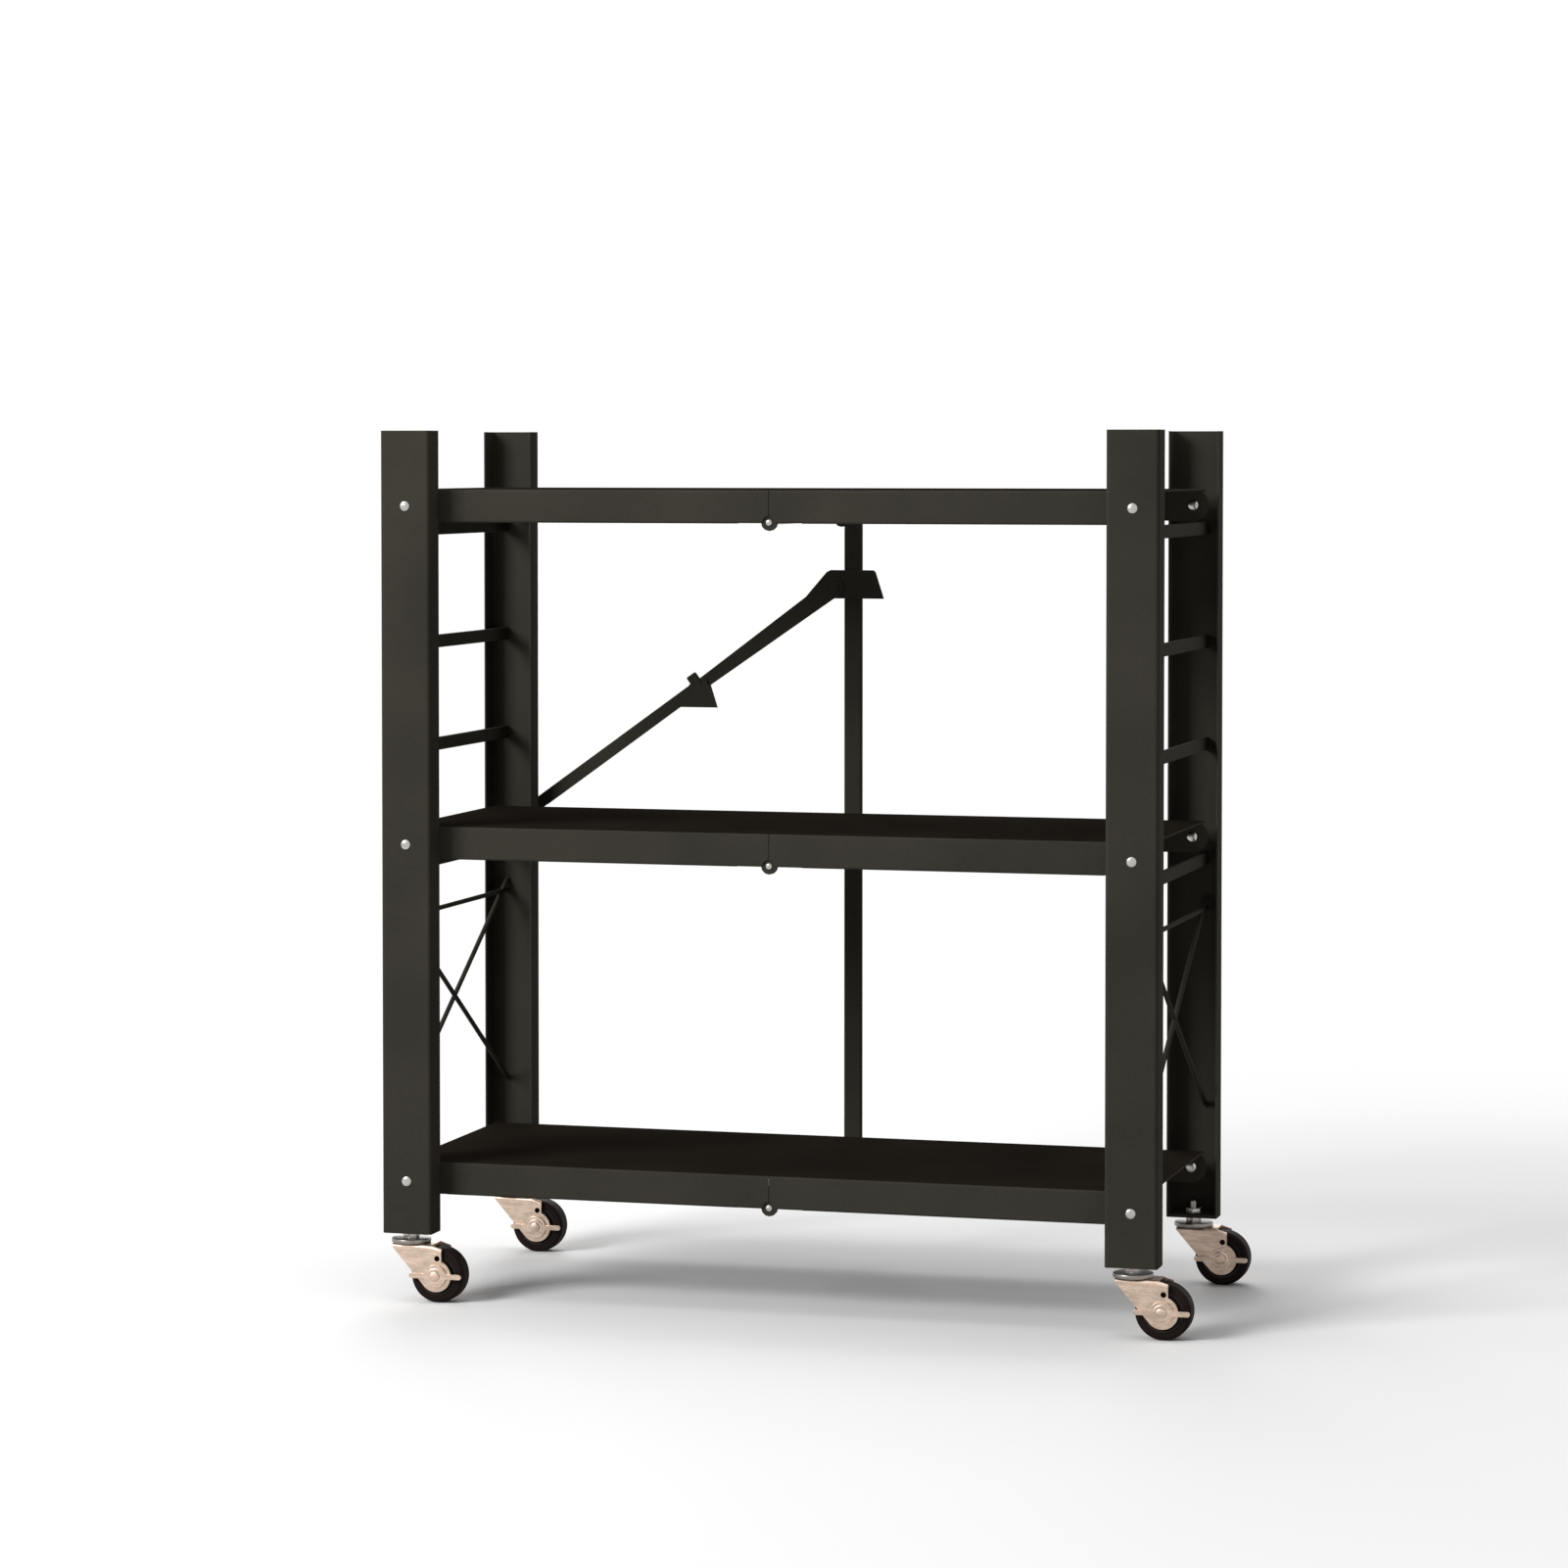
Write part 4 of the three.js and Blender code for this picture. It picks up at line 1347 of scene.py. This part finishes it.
    def settle(self, piece: bpy.types.Object) -> bpy.types.Object:
        """Shade a piece turned about Z and lay it along the axle."""
        Bench.smooth(piece)
        place = self.axle_place
        lay_along_y(piece, End.FRONT, place.x, place.y, place.z)
        return piece


@dataclass(frozen=True)
class Lamp:
    """A soft rectangular lamp that looks at the bookcase."""

    name: str
    place: Triple
    size: float
    power: float

    def hang(self, target: Vector) -> None:
        """Hang the lamp and turn it to the target."""
        data = bpy.data.lights.new(self.name, "AREA")
        data.shape = "SQUARE"
        data.size = self.size
        data.energy = self.power
        lamp = bpy.data.objects.new(self.name, data)
        lamp.location = self.place
        lamp.rotation_euler = (target - Vector(self.place)).to_track_quat("-Z", "Y").to_euler()
        bpy.context.scene.collection.objects.link(lamp)


@dataclass
class Studio:
    """Floor, lamps, world and the camera at the photograph's angle."""

    image_pixels: float = 1601
    focal_pixels: float = 4754.15
    sensor: float = 36.0
    shift_y: float = -0.1
    yaw: float = 15.797
    pitch: float = 2.114
    camera_place: Triple = (1.12379, -4.10571, 0.76771)
    floor_half: float = 30.0
    floor_colour: float = 0.92
    bounce_colour: float = 0.5
    shadow_reach: float = 0.7
    white_reach: float = 1.9
    world_light: float = 0.35
    aim: Triple = (0, 0, 0.4)
    lamps: tuple[Lamp, ...] = (
        Lamp("key", (-2.6, -3.2, 2.4), 1.8, 175),
        Lamp("top", (-0.3, 0.2, 3.4), 2.4, 35),
        Lamp("back", (-1.2, 3.2, 2.2), 2.0, 50),
    )

    def build(self) -> None:
        """Set up everything that isn't part of the bookcase."""
        self.floor()
        self.world()
        for lamp in self.lamps:
            lamp.hang(Vector(self.aim))
        self.camera()

    def seen_white(
        self, graph: Graph, shader: bpy.types.Node, white: bpy.types.Node
    ) -> bpy.types.Node:
        """Show white to the camera and to reflections while a shader does the lighting.

        Args:
            graph: the tree that is being built.
            shader: what lights the object.
            white: what is seen.

        Returns:
            The mix of the two.
        """
        rays = graph.add("ShaderNodeLightPath")
        seen = rays.outputs["Is Camera Ray"]
        for ray in ("Is Glossy Ray", "Is Transmission Ray"):
            either = graph.add("ShaderNodeMath", operation="MAXIMUM")
            graph.join(seen, either.inputs[0])
            graph.join(rays.outputs[ray], either.inputs[1])
            seen = either.outputs["Value"]
        mix = graph.add("ShaderNodeMixShader")
        graph.join(seen, mix.inputs[0])
        graph.join(shader.outputs[0], mix.inputs[1])
        graph.join(white.outputs[0], mix.inputs[2])
        return mix

    def world(self) -> None:
        """Light the scene evenly and show white behind it."""
        world = bpy.data.worlds.new("studio")
        graph = Graph.fresh(world)
        light = graph.add("ShaderNodeBackground")
        light.inputs["Color"].default_value = WHITE
        light.inputs["Strength"].default_value = self.world_light
        white = graph.add("ShaderNodeBackground")
        white.inputs["Color"].default_value = WHITE
        output = graph.add("ShaderNodeOutputWorld")
        graph.join(self.seen_white(graph, light, white).outputs[0], output.inputs["Surface"])
        bpy.context.scene.world = world

    def floor(self) -> None:
        """Lay the pale floor, which takes the shadow and turns plain white away from it."""
        Bench.clear()
        bpy.ops.mesh.primitive_plane_add(size=2 * self.floor_half)
        floor = Bench.newest("studio_floor")
        material = bpy.data.materials.new("studio floor")
        graph = Graph.fresh(material)
        paint = graph.add("ShaderNodeBsdfDiffuse")
        tone = graph.add("ShaderNodeMix", data_type="RGBA")
        for socket, grey in (("A", self.floor_colour), ("B", self.bounce_colour)):
            tone.inputs[socket].default_value = (grey, grey, grey, 1)
        rays = graph.add("ShaderNodeLightPath")
        graph.join(rays.outputs["Is Diffuse Ray"], tone.inputs["Factor"])
        graph.join(tone.outputs["Result"], paint.inputs["Color"])
        white = graph.add("ShaderNodeEmission")
        white.inputs["Color"].default_value = WHITE
        place = graph.add("ShaderNodeTexCoord")
        distance = graph.add("ShaderNodeVectorMath", operation="LENGTH")
        graph.join(place.outputs["Object"], distance.inputs[0])
        far = graph.add("ShaderNodeMapRange", interpolation_type="SMOOTHSTEP")
        far.inputs["From Min"].default_value = self.shadow_reach
        far.inputs["From Max"].default_value = self.white_reach
        graph.join(distance.outputs["Value"], far.inputs["Value"])
        mix = graph.add("ShaderNodeMixShader")
        graph.join(far.outputs["Result"], mix.inputs[0])
        graph.join(paint.outputs[0], mix.inputs[1])
        graph.join(self.seen_white(graph, paint, white).outputs[0], mix.inputs[2])
        output = graph.add("ShaderNodeOutputMaterial")
        graph.join(mix.outputs[0], output.inputs["Surface"])
        floor.data.materials.append(material)

    def camera(self) -> None:
        """Set the camera by the fit to the photograph."""
        data = bpy.data.cameras.new("camera")
        data.sensor_width = self.sensor
        data.lens = self.focal_pixels * self.sensor / self.image_pixels
        data.shift_y = self.shift_y
        camera = bpy.data.objects.new("camera", data)
        camera.location = self.camera_place
        camera.rotation_euler = Euler((math.radians(90 - self.pitch), 0, math.radians(self.yaw)))
        bpy.context.scene.collection.objects.link(camera)
        bpy.context.scene.camera = camera


def main() -> None:
    """Build the studio and the bookcase in order."""
    logging.basicConfig(level=logging.INFO, format="%(name)s: %(message)s")
    bpy.context.scene.view_settings.view_transform = "Standard"
    Studio().build()
    for side in Side:
        SideFrame(side).build()
    for level in Level:
        Shelf(level).build()
    RearLinkage().build()
    Caster().build()
    for part in Part:
        bpy.data.materials.remove(part.marker)


if __name__ == "__main__":
    main()
